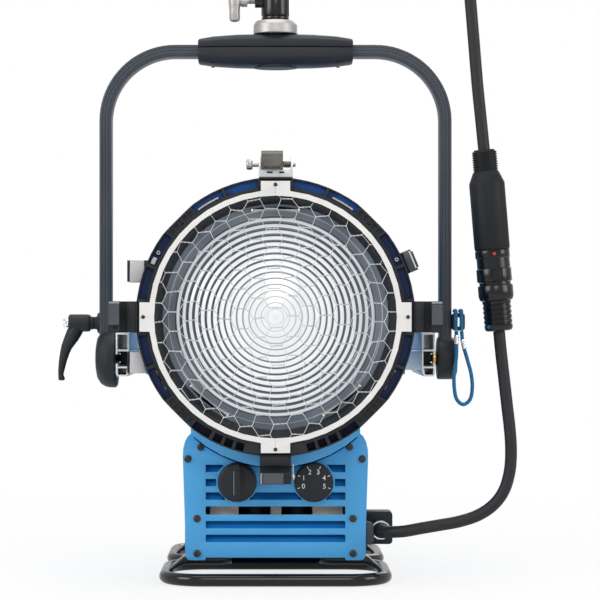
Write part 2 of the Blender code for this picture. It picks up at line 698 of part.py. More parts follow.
def lamp_train():
    """Two rods in the barrel, the lamp carriage on them, and the lamp with its mirror."""
    def end_plate(low, high, bm):
        seat = arc(0, BARREL_LOW_Z, BARREL_LOW_R - SKIN - 0.0012, -66, -114, 8)
        top = [(-0.072, 0.228), (0.072, 0.228)]
        return slab([seat + top], low, high, "Y", bm)

    rods = piece("carriage_rods", end_plate(0.085, 0.093, bmesh.new()), "steel")
    fuse(rods, end_plate(0.405, 0.413, bmesh.new()))
    for x in (-ROD_X, ROD_X):
        fuse(rods, rod(ROD_R, 0.088, 0.410, at=(x, ROD_Z), steps=12))

    low, high = CARRIAGE
    deck = piece("lamp_carriage", block(-0.078, 0.078, low, high, 0.206, 0.226), "bare_aluminium",
                 "lamp_carriage")
    fuse(deck, block(-0.028, 0.028, high - 0.006, high, 0.215, 0.345), "lamp_carriage")
    fuse(deck, block(-0.0640, -0.0460, 0.226, 0.250, 0.130, 0.212), "lamp_carriage")
    for x in (-ROD_X, ROD_X):
        cut(deck, rod(ROD_R + 0.0004, 0.1, 0.4, at=(x, ROD_Z), steps=12), "lamp_carriage")
    cut(deck, rod(0.0062, 0.1, 0.4, at=KNOB, steps=12), "lamp_carriage")

    holder = [(0, 0.2263), (0.024, 0.2263), (0.024, 0.262), (0.019, 0.270), (0.019, 0.300),
              (0, 0.300)]
    piece("lamp_holder", turned(holder, "Z", (0, 0.240), 16), "ceramic", "lamp_carriage")
    bulb = [(0, 0.3003), (0.011, 0.3003), (0.011, 0.322), (0.008, 0.330), (0.0125, 0.345),
            (0.0165, 0.362), (0.0165, 0.398), (0.0125, 0.415), (0.006, 0.430), (0, 0.436)]
    piece("discharge_lamp", turned(bulb, "Z", (0, 0.240), 12), "quartz", "lamp_carriage")
    outside = [(0.062 * math.sin(math.radians(a)), 0.2215 + 0.062 * math.cos(math.radians(a)))
               for a in (60, 45, 30, 15, 0)]
    inside = [(0.060 * math.sin(math.radians(a)), 0.2215 + 0.060 * math.cos(math.radians(a)))
              for a in (0, 15, 30, 45, 60)]
    piece("reflector", turned(outside + inside, "Y", (0, LENS_Z), 16), "mirror", "lamp_carriage")


def skid(name, front):
    """Closed loop of tube lying flat, with two saddle pads welded to its sides."""
    back = front + SKID_DEPTH
    half, corner = SKID_HALF, SKID_CORNER
    flat = (
        arc(half - corner, back - corner, corner, 0, 90, 4)
        + arc(-half + corner, back - corner, corner, 90, 180, 4)
        + arc(-half + corner, front + corner, corner, 180, 270, 4)
        + arc(half - corner, front + corner, corner, 270, 360, 4)
    )
    path = [(u, v, TUBE_R) for u, v in flat]
    loop = piece(name, swept(circle(0, 0, TUBE_R, 8), path, True), "skid_black")
    middle = front + SKID_DEPTH / 2
    for side in (-1, 1):
        tip = arc(0.083, middle, 0.020, 90, 270, 4)
        outline = [(side * u, v) for u, v in tip + [(0.1575, middle - 0.020),
                                                    (0.1575, middle + 0.020)]]
        fuse(loop, slab([outline], 0.0205, PAD_TOP, "Z"))
        foot = [(side * u, v) for u, v in [(0.1515, middle - 0.018), (0.1645, middle - 0.018),
                                           (0.1645, middle + 0.018), (0.1515, middle + 0.018)]]
        fuse(loop, slab([foot], 0.0100, 0.0262, "Z"))


def rail(name, side):
    """Slotted extrusion along the lamp's side, on two stand-offs."""
    def at(points):
        return [(side * u, v) for u, v in points]

    outer = at([(RAIL_IN, 0.357), (RAIL_IN, 0.302), (RAIL_IN + 0.003, 0.294),
                (RAIL_OUT - 0.002, 0.294), (RAIL_OUT, 0.298), (RAIL_OUT, PIVOT_Z - 0.0068),
                (RAIL_OUT - 0.0025, PIVOT_Z - 0.0068), (RAIL_OUT - 0.0025, PIVOT_Z - 0.0110),
                (RAIL_IN + 0.0025, PIVOT_Z - 0.0110), (RAIL_IN + 0.0025, PIVOT_Z + 0.0110),
                (RAIL_OUT - 0.0025, PIVOT_Z + 0.0110), (RAIL_OUT - 0.0025, PIVOT_Z + 0.0068),
                (RAIL_OUT, PIVOT_Z + 0.0068), (RAIL_OUT, 0.357)])
    upper = at([(RAIL_IN + 0.0025, 0.3330), (RAIL_OUT - 0.0025, 0.3330),
                (RAIL_OUT - 0.0025, 0.3545), (RAIL_IN + 0.0025, 0.3545)])
    lower = at([(RAIL_IN + 0.0050, 0.2965), (RAIL_OUT - 0.0030, 0.2965),
                (RAIL_OUT - 0.0025, 0.3058), (RAIL_IN + 0.0028, 0.3058)])
    made = piece(name, slab([outer, upper, lower], *RAIL_Y), "bare_aluminium")
    for y in (0.112, 0.310):
        x0, x1 = sorted((side * (BOSS_X + GAP), side * (RAIL_IN + 0.001)))
        fuse(made, block(x0, x1, y, y + 0.030, 0.303, 0.331))


def hinges_and_inlet():
    """Fixed door hinges on the left; cable inlet low on the right."""
    x, y = HINGE
    for name, z in zip(("upper_hinge", "lower_hinge"), HINGE_Z):
        leaf = block(-0.2100, -(BOSS_X + GAP), BARREL_FRONT + 0.0004, 0.0985, z - 0.0155, z)
        hinge = piece(name, leaf, "bare_aluminium")
        fuse(hinge, rod(0.0030, z - 0.004, z + 0.0145, "Z", HINGE, 12))

    side = CASE_HALF + GAP
    plate = rounded(side, 0.1705, 0.0490, 0.0965, 0.005, 3)
    inlet = piece("inlet_plate", slab([plate], 0.122, 0.160), "black_plastic")
    gland_at = (0.1525, 0.0705)
    cut(inlet, rod(0.0112, 0.10, 0.150, at=gland_at, steps=18))
    gland = [(0.0145, 0.1120), (0.0145, 0.1217), (0.0109, 0.1217), (0.0109, 0.1400),
             (0.0088, 0.1400), (0.0088, 0.1120), (0.0112, 0.1098), (0.0132, 0.1098)]
    piece("cable_gland", turned(gland, "Y", gland_at, 16), "chrome")
    cover = [(side, 0.0515), (side + 0.005, 0.0515)] + arc(side + 0.003, 0.0605, 0.0085, -45, 0, 2)
    cover += arc(side + 0.003, 0.0760, 0.0085, 0, 60, 3) + [(side, 0.0850)]
    piece("inlet_cover", slab([cover], 0.0890, 0.1094), "yoke_grey")


# ---------------------------------------------------------------- stirrup
def yoke_tube():
    """Rectangular extrusion bent over the lamp, with fine ribs along its outer face."""
    half, top, corner = YOKE_HALF, YOKE_TOP, YOKE_CORNER
    path = [(-half, YOKE_FOOT)] + arc(-half + corner, top - corner, corner, 180, 90, 8)
    path += arc(half - corner, top - corner, corner, 90, 0, 8) + [(half, YOKE_FOOT)]
    t, d = YOKE_THICK / 2, YOKE_DEEP / 2
    section = [(t - 0.003, d), (t, d - 0.003), (t, -d + 0.003), (t - 0.003, -d),
               (-t + 0.003, -d), (-t, -d + 0.003), (-t, d - 0.003), (-t + 0.003, d),
               (-0.0045, d), (-0.0035, d - 0.001), (0.0035, d - 0.001), (0.0045, d)]
    route = [(u, PIVOT_Y, v) for u, v in path]
    piece("yoke_tube", swept(section, route), "yoke_grey", "yoke")


def grip_half(name, upper):
    """One half of the moulded grip round the top of the stirrup."""
    rings = []
    for share in (-1, -0.97, -0.8, -0.5, 0, 0.5, 0.8, 0.97, 1):
        swell = math.sqrt(1 - 0.96 * share**2)
        deep = 0.0235 + 0.0065 * swell
        if upper:
            flat, far = SEAM_Z + 0.0002, 0.7870 + 0.0102 * swell
        else:
            flat, far = SEAM_Z - 0.0002, 0.7568 - 0.0085 * swell
        shoulder = flat + (far - flat) * 0.55
        x = share * GRIP_HALF
        ring = [(-deep, flat), (deep, flat), (deep, shoulder), (deep * 0.82, far - (far - flat) * 0.12),
                (deep * 0.5, far), (-deep * 0.5, far), (-deep * 0.82, far - (far - flat) * 0.12),
                (-deep, shoulder)]
        rings.append([(x, PIVOT_Y + u, v) for u, v in ring])
    made = piece(name, lofted(rings), "black_plastic", "yoke")
    room = block(-0.13, 0.13, PIVOT_Y - YOKE_DEEP / 2 - GAP, PIVOT_Y + YOKE_DEEP / 2 + GAP,
                 YOKE_TOP - YOKE_THICK / 2 - GAP, YOKE_TOP + YOKE_THICK / 2 + GAP)
    cut(made, room, "yoke")


def end_covers():
    """Brake housing on the left and the pivot cover on the right, both round the leg's end."""
    axis = (PIVOT_Y, PIVOT_Z)
    left = [(0, -0.2652), (0.018, -0.2652), (0.030, -0.2630), (0.0385, -0.2575),
            (0.0425, -0.2500), (0.0435, -0.2440), (0.0435, -0.2360), (0.0405, -0.2334),
            (0, -0.2334)]
    right = [(0, 0.2388), (0.0300, 0.2388), (0.0315, 0.2402), (0.0315, 0.2600),
             (0.0290, 0.2652), (0.0240, 0.2675), (0, 0.2680)]
    deep = YOKE_DEEP / 2 + GAP
    for name, profile, side in (("left_end_cover", left, -1), ("right_end_cover", right, 1)):
        cover = piece(name, turned(profile, "X", axis, 24), "black_plastic", "yoke")
        x0, x1 = sorted(side * (YOKE_HALF + o * (YOKE_THICK / 2 + GAP)) for o in (-1, 1))
        pocket = block(x0, x1, PIVOT_Y - deep, PIVOT_Y + deep, YOKE_FOOT - GAP, 0.400)
        cut(cover, pocket, "yoke")
        bore = rod(0.0060, *sorted((side * 0.225, side * 0.2402)), "X", axis, 12)
        cut(cover, bore, "yoke")


def slide_nuts():
    """T-nuts in the side rails, with the pivot bolts on which the stirrup swings."""
    axis = (PIVOT_Y, PIVOT_Z)
    for name, side in (("left_slide_nut", -1), ("right_slide_nut", 1)):
        x0, x1 = sorted((side * (RAIL_IN + 0.0030), side * (RAIL_OUT - 0.0030)))
        nut = block(x0, x1, PIVOT_Y - 0.018, PIVOT_Y + 0.018, PIVOT_Z - 0.0100, PIVOT_Z + 0.0100)
        made = piece(name, nut, "black_plastic", "yoke_slider")
        bolt = rod(0.0055, *sorted((side * 0.220, side * 0.2398)), "X", axis, 12)
        fuse(made, bolt, "yoke_slider")
    nut = [(0.0060, 0.2316), (0.0105, 0.2316), (0.0109, 0.2330), (0.0109, 0.2370),
           (0.0098, 0.2384), (0.0060, 0.2384)]
    piece("brass_nut", turned(nut, "X", axis, 12), "brass", "yoke_slider")


def tilt_lever():
    """Clamp lever on the left leg: hub, stem and a drooping handle, with a push button."""
    outer = -(YOKE_HALF + YOKE_THICK / 2) - GAP
    z = 0.3711
    hub = [(0, outer), (0.0152, outer), (0.0152, -0.2625), (0.0096, -0.2640), (0.0096, -0.2735),
           (0.0122, -0.2745), (0.0129, -0.2790), (0.0129, -0.3010), (0.0110, -0.3060),
           (0, -0.3060)]
    lever = piece("tilt_lever", turned(hub, "X", (PIVOT_Y, z), 18), "black_plastic", "tilt_lever")
    spine = [(-0.2905, 0.3680, 0.0100), (-0.2950, 0.3560, 0.0092), (-0.3010, 0.3390, 0.0080),
             (-0.3070, 0.3220, 0.0068), (-0.3130, 0.3050, 0.0056), (-0.3165, 0.2935, 0.0056),
             (-0.3180, 0.2880, 0.0040)]
    rings = []
    for n, (x, high, radius) in enumerate(spine):
        before, after = spine[max(n - 1, 0)], spine[min(n + 1, len(spine) - 1)]
        along = Vector((after[0] - before[0], 0, after[1] - before[1])).normalized()
        side = Vector((along.z, 0, -along.x))
        rings.append([Vector((x, PIVOT_Y, high)) + side * u + Vector((0, v * 1.25, 0))
                      for u, v in circle(0, 0, radius, 8)])
    fuse(lever, lofted(rings), "tilt_lever")
    cut(lever, rod(0.0072, -0.320, -0.2995, "X", (PIVOT_Y, z), 12), "tilt_lever")
    button = [(0, -0.3034), (0.0066, -0.3034), (0.0066, -0.3125), (0.0055, -0.3142),
              (0, -0.3144)]
    piece("lever_button", turned(button, "X", (PIVOT_Y, z), 12), "chrome", "lever_button")


def cord_hook():
    """Open hook on the right leg that carries the cord loop."""
    x = YOKE_HALF + YOKE_THICK / 2 + GAP
    ring = rounded(x, x + 0.0172, 0.3600, 0.3860, 0.005, 3)
    hole = rounded(x + 0.0050, x + 0.0125, 0.3655, 0.3800, 0.003, 2)
    piece("cord_hook", slab([ring, hole], LOOP_Y - 0.006, PIVOT_Y - 0.004), "black_plastic",
          "yoke")


def hanger():
    """Collar and spigot on the stirrup, and the socket with its T-screw that hangs the lamp."""
    collar = [(0, 0.7978), (0.0325, 0.7978), (0.0325, 0.8120), (0.0290, 0.8168),
              (SPIGOT_R, 0.8168), (SPIGOT_R, 0.8550), (0.012, 0.8575), (0, 0.8575)]
    piece("spigot_collar", turned(collar, "Z", (0, PIVOT_Y), 24), "bare_aluminium", "yoke")
    low, high = SOCKET_Z
    wall = [(SOCKET_BORE, low), (0.0180, low), (0.0205, low + 0.002), (0.0205, low + 0.005),
            (0.0190, low + 0.0058), (SOCKET_R, low + 0.0080), (SOCKET_R, high - 0.0015),
            (SOCKET_R - 0.0015, high), (0, high), (0, high - 0.0080),
            (SOCKET_BORE, high - 0.0080)]
    socket = piece("hanger_socket", turned(wall, "Z", (0, PIVOT_Y), 20), "skid_black",
                   "hanger_socket")
    axis = (PIVOT_Y, SCREW_Z)
    fuse(socket, rod(0.0095, -0.0303, -0.0180, "X", axis, 14), "hanger_socket")
    cut(socket, rod(0.0046, -0.05, -0.010, "X", axis, 12), "hanger_socket")
    shaft = [(0, -0.0153), (0.0040, -0.0153), (0.0040, -0.0415), (0.0082, -0.0415),
             (0.0082, -0.0505), (0.0060, -0.0520), (0.0060, -0.0560), (0, -0.0560)]
    screw = piece("t_screw", turned(shaft, "X", axis, 12), "bare_aluminium", "t_screw")
    wing = [(0, SCREW_Z - 0.0303), (0.0052, SCREW_Z - 0.0298), (0.0078, SCREW_Z - 0.0270),
            (0.0080, SCREW_Z - 0.0120), (0.0092, SCREW_Z), (0.0080, SCREW_Z + 0.0120),
            (0.0078, SCREW_Z + 0.0270), (0.0052, SCREW_Z + 0.0298), (0, SCREW_Z + 0.0303)]
    fuse(screw, turned(wing, "Z", (-0.0603, PIVOT_Y), 12), "t_screw")


# ---------------------------------------------------------------- cables
def leaning(profile, low, high, steps=16):
    """Turn a profile whose second value runs from 0 at low to the length at high."""
    bm = turned(profile, "Z", (0, 0), steps)
    low, high = Vector(low), Vector(high)
    turn = (high - low).to_track_quat("Z", "Y").to_matrix().to_4x4()
    bmesh.ops.transform(bm, matrix=Matrix.Translation(low) @ turn, verts=bm.verts)
    return bm


def connectors():
    """Cable coupler: tail connector below, coupling ring, and the extension's connector above."""
    foot = Vector((0.3186, CABLE_Y, 0.3600))
    head = Vector((0.2973, CABLE_Y, 0.6181))
    up = (head - foot).normalized()
    span = (head - foot).length
    tail = [(0, 0), (0.0155, 0), (0.0200, 0.004), (0.0204, 0.0430), (0.0235, 0.0450),
            (0.0250, 0.0520), (0.0250, 0.0640), (0.0225, 0.0660), (0.0225, 0.0700), (0, 0.0700)]
    ring = [(0, 0.0703), (0.0238, 0.0703), (0.0252, 0.0720), (0.0252, 0.0880), (0.0236, 0.0900),
            (0.0236, 0.1040), (0.0250, 0.1060), (0.0250, 0.1140), (0.0238, 0.1155), (0, 0.1155)]
    top = [(0, 0.1158), (0.0245, 0.1158), (0.0253, 0.1200), (0.0253, 0.2100), (0.0235, 0.2200),
           (0.0185, 0.2270), (0.0178, 0.2300), (0.0178, span - 0.006), (0.0140, span), (0, span)]
    for name, profile in (("tail_connector", tail), ("coupling_ring", ring),
                          ("extension_connector", top)):
        piece(name, leaning(profile, foot, foot + up), "black_plastic")
    return foot, head, up


def cables():
    foot, head, up = connectors()
    tail_route = [(0.1525, 0.1095, 0.0705), (0.1530, 0.0960, 0.0706), (0.1570, 0.0800, 0.0712),
                  (0.1680, 0.0650, 0.0725), (0.1850, 0.0570, 0.0745), (0.2060, CABLE_Y, 0.0785),
                  (0.2320, CABLE_Y, 0.0830), (0.2620, CABLE_Y, 0.0885), (0.2890, CABLE_Y, 0.0975),
                  (0.3105, CABLE_Y, 0.1120), (0.3255, CABLE_Y, 0.1320), (0.3335, CABLE_Y, 0.1580),
                  (0.3358, CABLE_Y, 0.1850), (0.3345, CABLE_Y, 0.2150), (0.3300, CABLE_Y, 0.2550),
                  (0.3255, CABLE_Y, 0.2950), (0.3215, CABLE_Y, 0.3300), tuple(foot - up * GAP)]
    cord("tail_cable", tail_route, CABLE_D, "cable_rubber", resolution=3)
    end = (0.2745, CABLE_Y, 0.8700)
    rise = [tuple(head + up * GAP), (0.2935, CABLE_Y, 0.6560), (0.2880, CABLE_Y, 0.7100),
            (0.2830, CABLE_Y, 0.7700), (0.2780, CABLE_Y, 0.8300), end]
    cord("extension_cable", rise, CABLE_D, "cable_rubber", resolution=3)
    grip_up = (Vector(end) - Vector(rise[-2])).normalized()
    sleeve = [(0, GAP), (0.0105, GAP), (0.0118, 0.003), (0.0118, 0.018), (0.0070, 0.026),
              (0.0060, 0.034), (0, 0.034)]
    grip = piece("cable_grip", leaning(sleeve, end, Vector(end) + grip_up, 12), "steel")
    eye = [(0.0088 + 0.0024 * math.cos(math.tau * k / 6), 0.0024 * math.sin(math.tau * k / 6))
           for k in range(6)]
    loop = turned(eye, "Y", (0, 0), 14)
    centre = Vector(end) + grip_up * 0.0415
    bmesh.ops.translate(loop, verts=loop.verts, vec=centre)
    fuse(grip, loop)


def loop_cord():
    """Short cord loop hanging from its hook, ends together in the hook."""
    x = YOKE_HALF + YOKE_THICK / 2 + 0.0087
    y = LOOP_Y
    loop = [(x - 0.0033, y, 0.3595), (x - 0.0030, y, 0.3400), (x - 0.0035, y, 0.3200),
            (x - 0.0065, y, 0.2980), (x - 0.0065, y, 0.2780), (x - 0.0030, y, 0.2600),
            (x + 0.0070, y, 0.2520), (x + 0.0170, y, 0.2600), (x + 0.0200, y, 0.2780),
            (x + 0.0180, y, 0.2980), (x + 0.0120, y, 0.3200), (x + 0.0065, y, 0.3400),
            (x + 0.0042, y, 0.3595)]
    cord("loop_cord", loop, LOOP_D, "loop_cord", "yoke")


# ---------------------------------------------------------------- assembly
def joints():
    """Empties on the joint axes, each on the body that carries it."""
    body("root", (0, 0, 0))
    body("lens_door", (*HINGE, LENS_Z))
    body("top_latch", (0, *LATCH_PIN), "lens_door")
    body("latch_pin", (0, *LATCH_PIN), "lens_door")
    catch_r = 0.2092
    body("door_catch", (catch_r * math.cos(CATCH_ANGLE), 0.079,
                        LENS_Z + catch_r * math.sin(CATCH_ANGLE)))
    body("focus_knob", (KNOB[0], PANEL_Y, KNOB[1]))
    body("lamp_carriage", (0, 0.240, ROD_Z))
    body("yoke_slider", (0, PIVOT_Y, PIVOT_Z))
    body("yoke", (0, PIVOT_Y, PIVOT_Z), "yoke_slider")
    body("tilt_lever", (-0.280, PIVOT_Y, 0.3711), "yoke")
    body("lever_button", (-0.309, PIVOT_Y, 0.3711), "tilt_lever")
    body("hanger_socket", (0, PIVOT_Y, 0.840), "yoke")
    body("t_screw", (-0.030, PIVOT_Y, SCREW_Z), "hanger_socket")


def build():
    clear_scene()
    joints()
    door_ring()
    wire_guard()
    guard_ring()
    clamp_and_lens()
    ear("left_ear", math.pi)
    ear("right_ear", 0)
    ear("bottom_ear", -math.pi / 2)
    top_latch()
    door_catch()
    housing()
    lower_case()
    front_panel()
    focus_drive()
    innards()
    lamp_train()
    skid("front_skid", SKID_Y[0])
    skid("rear_skid", SKID_Y[1])
    rail("left_rail", -1)
    rail("right_rail", 1)
    hinges_and_inlet()
    yoke_tube()
    grip_half("grip_upper", True)
    grip_half("grip_lower", False)
    end_covers()
    slide_nuts()
    tilt_lever()
    cord_hook()
    hanger()
    cables()
    loop_cord()


build()
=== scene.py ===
"""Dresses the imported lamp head: its finishes, its rounded edges and its finer parts.

Every place is given in the lamp's own drawing frame (x = 0 on the lens axis, y = 0 on the front
of the guard ring, z = 0 on the floor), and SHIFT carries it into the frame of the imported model.
"""

from __future__ import annotations

import json
import logging
import math
import random
from dataclasses import dataclass
from enum import Enum
from typing import Callable, Iterable, Sequence

import bpy
from mathutils import Matrix, Vector


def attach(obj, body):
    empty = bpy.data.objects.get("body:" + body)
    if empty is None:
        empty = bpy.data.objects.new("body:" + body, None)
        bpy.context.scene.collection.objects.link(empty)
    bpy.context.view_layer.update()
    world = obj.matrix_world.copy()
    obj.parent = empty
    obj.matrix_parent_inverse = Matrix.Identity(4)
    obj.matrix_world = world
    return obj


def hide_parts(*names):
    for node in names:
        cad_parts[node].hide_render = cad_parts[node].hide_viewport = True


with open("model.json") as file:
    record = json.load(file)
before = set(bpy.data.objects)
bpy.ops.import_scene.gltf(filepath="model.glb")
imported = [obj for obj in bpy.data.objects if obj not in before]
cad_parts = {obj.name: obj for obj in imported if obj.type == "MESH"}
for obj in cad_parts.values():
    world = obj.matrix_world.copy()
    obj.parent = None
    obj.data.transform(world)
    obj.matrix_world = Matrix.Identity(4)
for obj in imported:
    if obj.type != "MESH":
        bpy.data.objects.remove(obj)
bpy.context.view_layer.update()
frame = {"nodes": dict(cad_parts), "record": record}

log = logging.getLogger("lamp_head")

Piece = bpy.types.Object
Socket = bpy.types.NodeSocket
Point = Sequence[float]
Colour = tuple[float, float, float]
Test = Callable[[Vector, Vector], bool]

SHIFT = Vector((0.0226, -0.2389, 0.0))
LENS_Z = 0.380
PIVOT_Y = 0.170
CABLE_Y = 0.055
FIRST_ZONE = 0.0116                  # radius of the lens's middle zone
ZONE_PITCH = 0.00875                 # from riser to riser
WELD = 1e-6                          # vertices closer than this are one
SHARP = 0.00005                      # bevel of a cutter, too small to see
FLAT = math.radians(0.8)             # packed triangles that meet flatter than this are one face
BEVEL_SMOOTH = 34                    # degrees: bevelled pieces are shaded smooth up to this
CURVE_STEPS = 24                     # points drawn between two points of a route
ZONE_SHIFT = 20.5                    # added to a count of zones, which then is never below zero
QUARTERS = (0, 90, 180, 270)
SLOT_OF = {row["node"]: row["material_slot"] for row in frame["record"]["subparts"]}
BODY_OF = {
    node: body for body, nodes in frame["record"]["behaviour"]["bodies"].items() for node in nodes
}


class Axis(Enum):
    """The three directions of the frame."""

    X = (1.0, 0.0, 0.0)
    Y = (0.0, 1.0, 0.0)
    Z = (0.0, 0.0, 1.0)


# ---------------------------------------------------------------- shader nodes
class Graph:
    """Places and joins shader nodes in one tree."""

    def __init__(self, tree: bpy.types.NodeTree) -> None:
        """Keeps the tree.

        Args:
            tree: The node tree of a material or a group.
        """
        self.tree = tree

    def node(self, kind: str, **settings: object) -> bpy.types.Node:
        """Adds a node.

        Args:
            kind: The node's type name.
            settings: Attributes to set on it.

        Returns:
            The new node.
        """
        made = self.tree.nodes.new(kind)
        for name, value in settings.items():
            setattr(made, name, value)
        return made

    def put(self, value: object, socket: Socket) -> None:
        """Links a socket to another, or sets its value."""
        if isinstance(value, Socket):
            self.tree.links.new(value, socket)
        elif isinstance(value, tuple) and len(value) == 3 and socket.type == "RGBA":
            socket.default_value = (*value, 1.0)
        else:
            socket.default_value = value

    def math(self, operation: str, *values: object, clamp: bool = False) -> Socket:
        """A Math node's result on one to three values."""
        made = self.node("ShaderNodeMath", operation=operation, use_clamp=clamp)
        for value, socket in zip(values, made.inputs):
            self.put(value, socket)
        return made.outputs[0]

    def times(self, one: object, two: object, clamp: bool = False) -> Socket:
        """The product of two values."""
        return self.math("MULTIPLY", one, two, clamp=clamp)

    def plus(self, one: object, two: object, clamp: bool = False) -> Socket:
        """The sum of two values."""
        return self.math("ADD", one, two, clamp=clamp)

    def minus(self, one: object, two: object) -> Socket:
        """The first value less the second."""
        return self.math("SUBTRACT", one, two)

    def mix(self, share: object, low: object, high: object) -> Socket:
        """A colour between two colours."""
        made = self.node("ShaderNodeMix", data_type="RGBA")
        self.put(share, made.inputs[0])
        self.put(low, made.inputs[6])
        self.put(high, made.inputs[7])
        return made.outputs[2]

    def spread(self, value: object, low: float, high: float, to_low: float, to_high: float
               ) -> Socket:
        """A value mapped from one range to another and held inside it."""
        made = self.node("ShaderNodeMapRange", clamp=True)
        for part, socket in zip((value, low, high, to_low, to_high), made.inputs):
            self.put(part, socket)
        return made.outputs[0]

    def noise(self, vector: object, scale: object, detail: float = 3.0, rough: float = 0.55
              ) -> Socket:
        """A noise value on a vector."""
        made = self.node("ShaderNodeTexNoise")
        self.put(vector, made.inputs["Vector"])
        self.put(scale, made.inputs["Scale"])
        fill(made, Detail=detail, Roughness=rough)
        return made.outputs[0]

    def place(self) -> Socket:
        """The Object coordinates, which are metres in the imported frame."""
        return self.node("ShaderNodeTexCoord").outputs["Object"]

    def stretched(self, vector: object, scale: Point) -> Socket:
        """A vector scaled by axis."""
        made = self.node("ShaderNodeMapping", vector_type="POINT")
        self.put(vector, made.inputs["Vector"])
        made.inputs["Scale"].default_value = scale
        return made.outputs[0]


def fill(node: bpy.types.Node, **values: object) -> None:
    """Sets a node's plain inputs; an underscore in a keyword stands for a space."""
    for name, value in values.items():
        node.inputs[name.replace("_", " ")].default_value = value


def new_group(name: str, ins: Sequence[tuple[str, str, float]], outs: Sequence[tuple[str, str]]
              ) -> tuple[bpy.types.NodeTree, Graph, bpy.types.Node, bpy.types.Node]:
    """An empty shader group with its sockets.

    Args:
        name: The group's name.
        ins: Name, kind and default of each input.
        outs: Name and kind of each output.

    Returns:
        The tree, its graph, and its input and output nodes.
    """
    tree = bpy.data.node_groups.new(name, "ShaderNodeTree")
    for title, kind, value in ins:
        socket = tree.interface.new_socket(title, in_out="INPUT", socket_type=kind)
        if kind == "NodeSocketFloat":
            socket.default_value = value
    for title, kind in outs:
        tree.interface.new_socket(title, in_out="OUTPUT", socket_type=kind)
    graph = Graph(tree)
    return tree, graph, graph.node("NodeGroupInput"), graph.node("NodeGroupOutput")


def grain_group() -> bpy.types.NodeTree:
    """Two scales of noise: broad unevenness as a mask, and a fine skin as a height."""
    tree, graph, into, out = new_group(
        "Surface grain",
        [("Broad", "NodeSocketFloat", 18.0), ("Fine", "NodeSocketFloat", 900.0)],
        [("Mask", "NodeSocketFloat"), ("Height", "NodeSocketFloat")],
    )
    place = graph.place()
    broad = graph.noise(place, into.outputs["Broad"], 4.0)
    graph.put(graph.spread(broad, 0.32, 0.68, 0.0, 1.0), out.inputs["Mask"])
    fine = graph.noise(place, into.outputs["Fine"], 2.0)
    graph.put(fine, out.inputs["Height"])
    return tree


def wear_group() -> bpy.types.NodeTree:
    """The outside edges, where the rounded normal leaves the true one: rubbed wear on most
    finishes, a painted highlight on the blue paints.
    """
    tree, graph, into, out = new_group(
        "Edge wear",
        [("Width", "NodeSocketFloat", 0.001), ("Scale", "NodeSocketFloat", 140.0)],
        [("Mask", "NodeSocketFloat")],
    )
    bevel = graph.node("ShaderNodeBevel", samples=6)
    graph.put(into.outputs["Width"], bevel.inputs["Radius"])
    true = graph.node("ShaderNodeNewGeometry").outputs["Normal"]
    dot = graph.node("ShaderNodeVectorMath", operation="DOT_PRODUCT")
    graph.put(bevel.outputs[0], dot.inputs[0])
    graph.put(true, dot.inputs[1])
    edge = graph.spread(dot.outputs["Value"], 0.93, 0.78, 0.0, 1.0)
    chips = graph.spread(graph.noise(graph.place(), into.outputs["Scale"]), 0.38, 0.62, 0.15, 1.0)
    graph.put(graph.times(edge, chips, clamp=True), out.inputs["Mask"])
    return tree


GRAIN = grain_group()
WEAR_AND_HIGHLIGHT = wear_group()


# ---------------------------------------------------------------- finishes
@dataclass(frozen=True)
class Finish:
    """A paint, plastic or metal with uneven tone, fine skin and rubbed edges; on the blue paints
    the lighter edge colour is a painted highlight.

    The first two colours are the tones that the broad grain moves between.
    """

    name: str
    colour: Colour
    tone: Colour
    roughness: tuple[float, float]
    metallic: float = 0.0
    broad: float = 18.0
    fine: float = 900.0
    bump: float = 0.05
    # Edge colour, share and width: rubbed wear on most finishes, a painted highlight on the blue
    # paints.
    wear: float = 0.0
    worn: Colour = (0.35, 0.36, 0.38)
    wear_width: float = 0.0012
    coat: float = 0.0
    specular: float = 0.5

    def material(self) -> bpy.types.Material:
        """The finish as a material, made on first use."""
        if self.name in bpy.data.materials:
            return bpy.data.materials[self.name]
        made = bpy.data.materials.new(self.name)
        made.use_nodes = True
        made.diffuse_color = (*self.colour, 1.0)
        graph = Graph(made.node_tree)
        shader = made.node_tree.nodes["Principled BSDF"]
        fill(shader, Metallic=self.metallic, Coat_Weight=self.coat, Coat_Roughness=0.08,
             Specular_IOR_Level=self.specular)
        self.wire(graph, shader)
        return made

    def wire(self, graph: Graph, shader: bpy.types.Node) -> None:
        """Joins the grain, and the edge wear and painted edge highlight, to the shader."""
        grain = self.grain(graph)
        colour = self.tint(graph, graph.mix(grain.outputs["Mask"], self.colour, self.tone))
        if self.wear:
            wear = graph.node("ShaderNodeGroup", node_tree=WEAR_AND_HIGHLIGHT)
            wear.inputs["Width"].default_value = self.wear_width
            share = graph.times(wear.outputs["Mask"], self.wear)
            colour = graph.mix(share, colour, self.worn)
        graph.put(colour, shader.inputs["Base Color"])
        rough = graph.spread(grain.outputs["Mask"], 0.0, 1.0, *self.roughness)
        graph.put(rough, shader.inputs["Roughness"])
        self.relief(graph, shader, self.height(graph, grain))

    def grain(self, graph: Graph) -> bpy.types.Node:
        """The surface grain group at this finish's scales."""
        made = graph.node("ShaderNodeGroup", node_tree=GRAIN)
        fill(made, Broad=self.broad, Fine=self.fine)
        return made

    def tint(self, graph: Graph, colour: Socket) -> Socket:
        """A chance to change the colour over the surface; plain finishes leave it."""
        return colour

    def height(self, graph: Graph, grain: bpy.types.Node) -> Socket:
        """The height that the bump reads."""
        return grain.outputs["Height"]

    def relief(self, graph: Graph, shader: bpy.types.Node, height: Socket) -> None:
        """Joins a height to the shader's normal."""
        bump = graph.node("ShaderNodeBump")
        fill(bump, Strength=self.bump, Distance=0.0006)
        graph.put(height, bump.inputs["Height"])
        graph.put(bump.outputs[0], shader.inputs["Normal"])


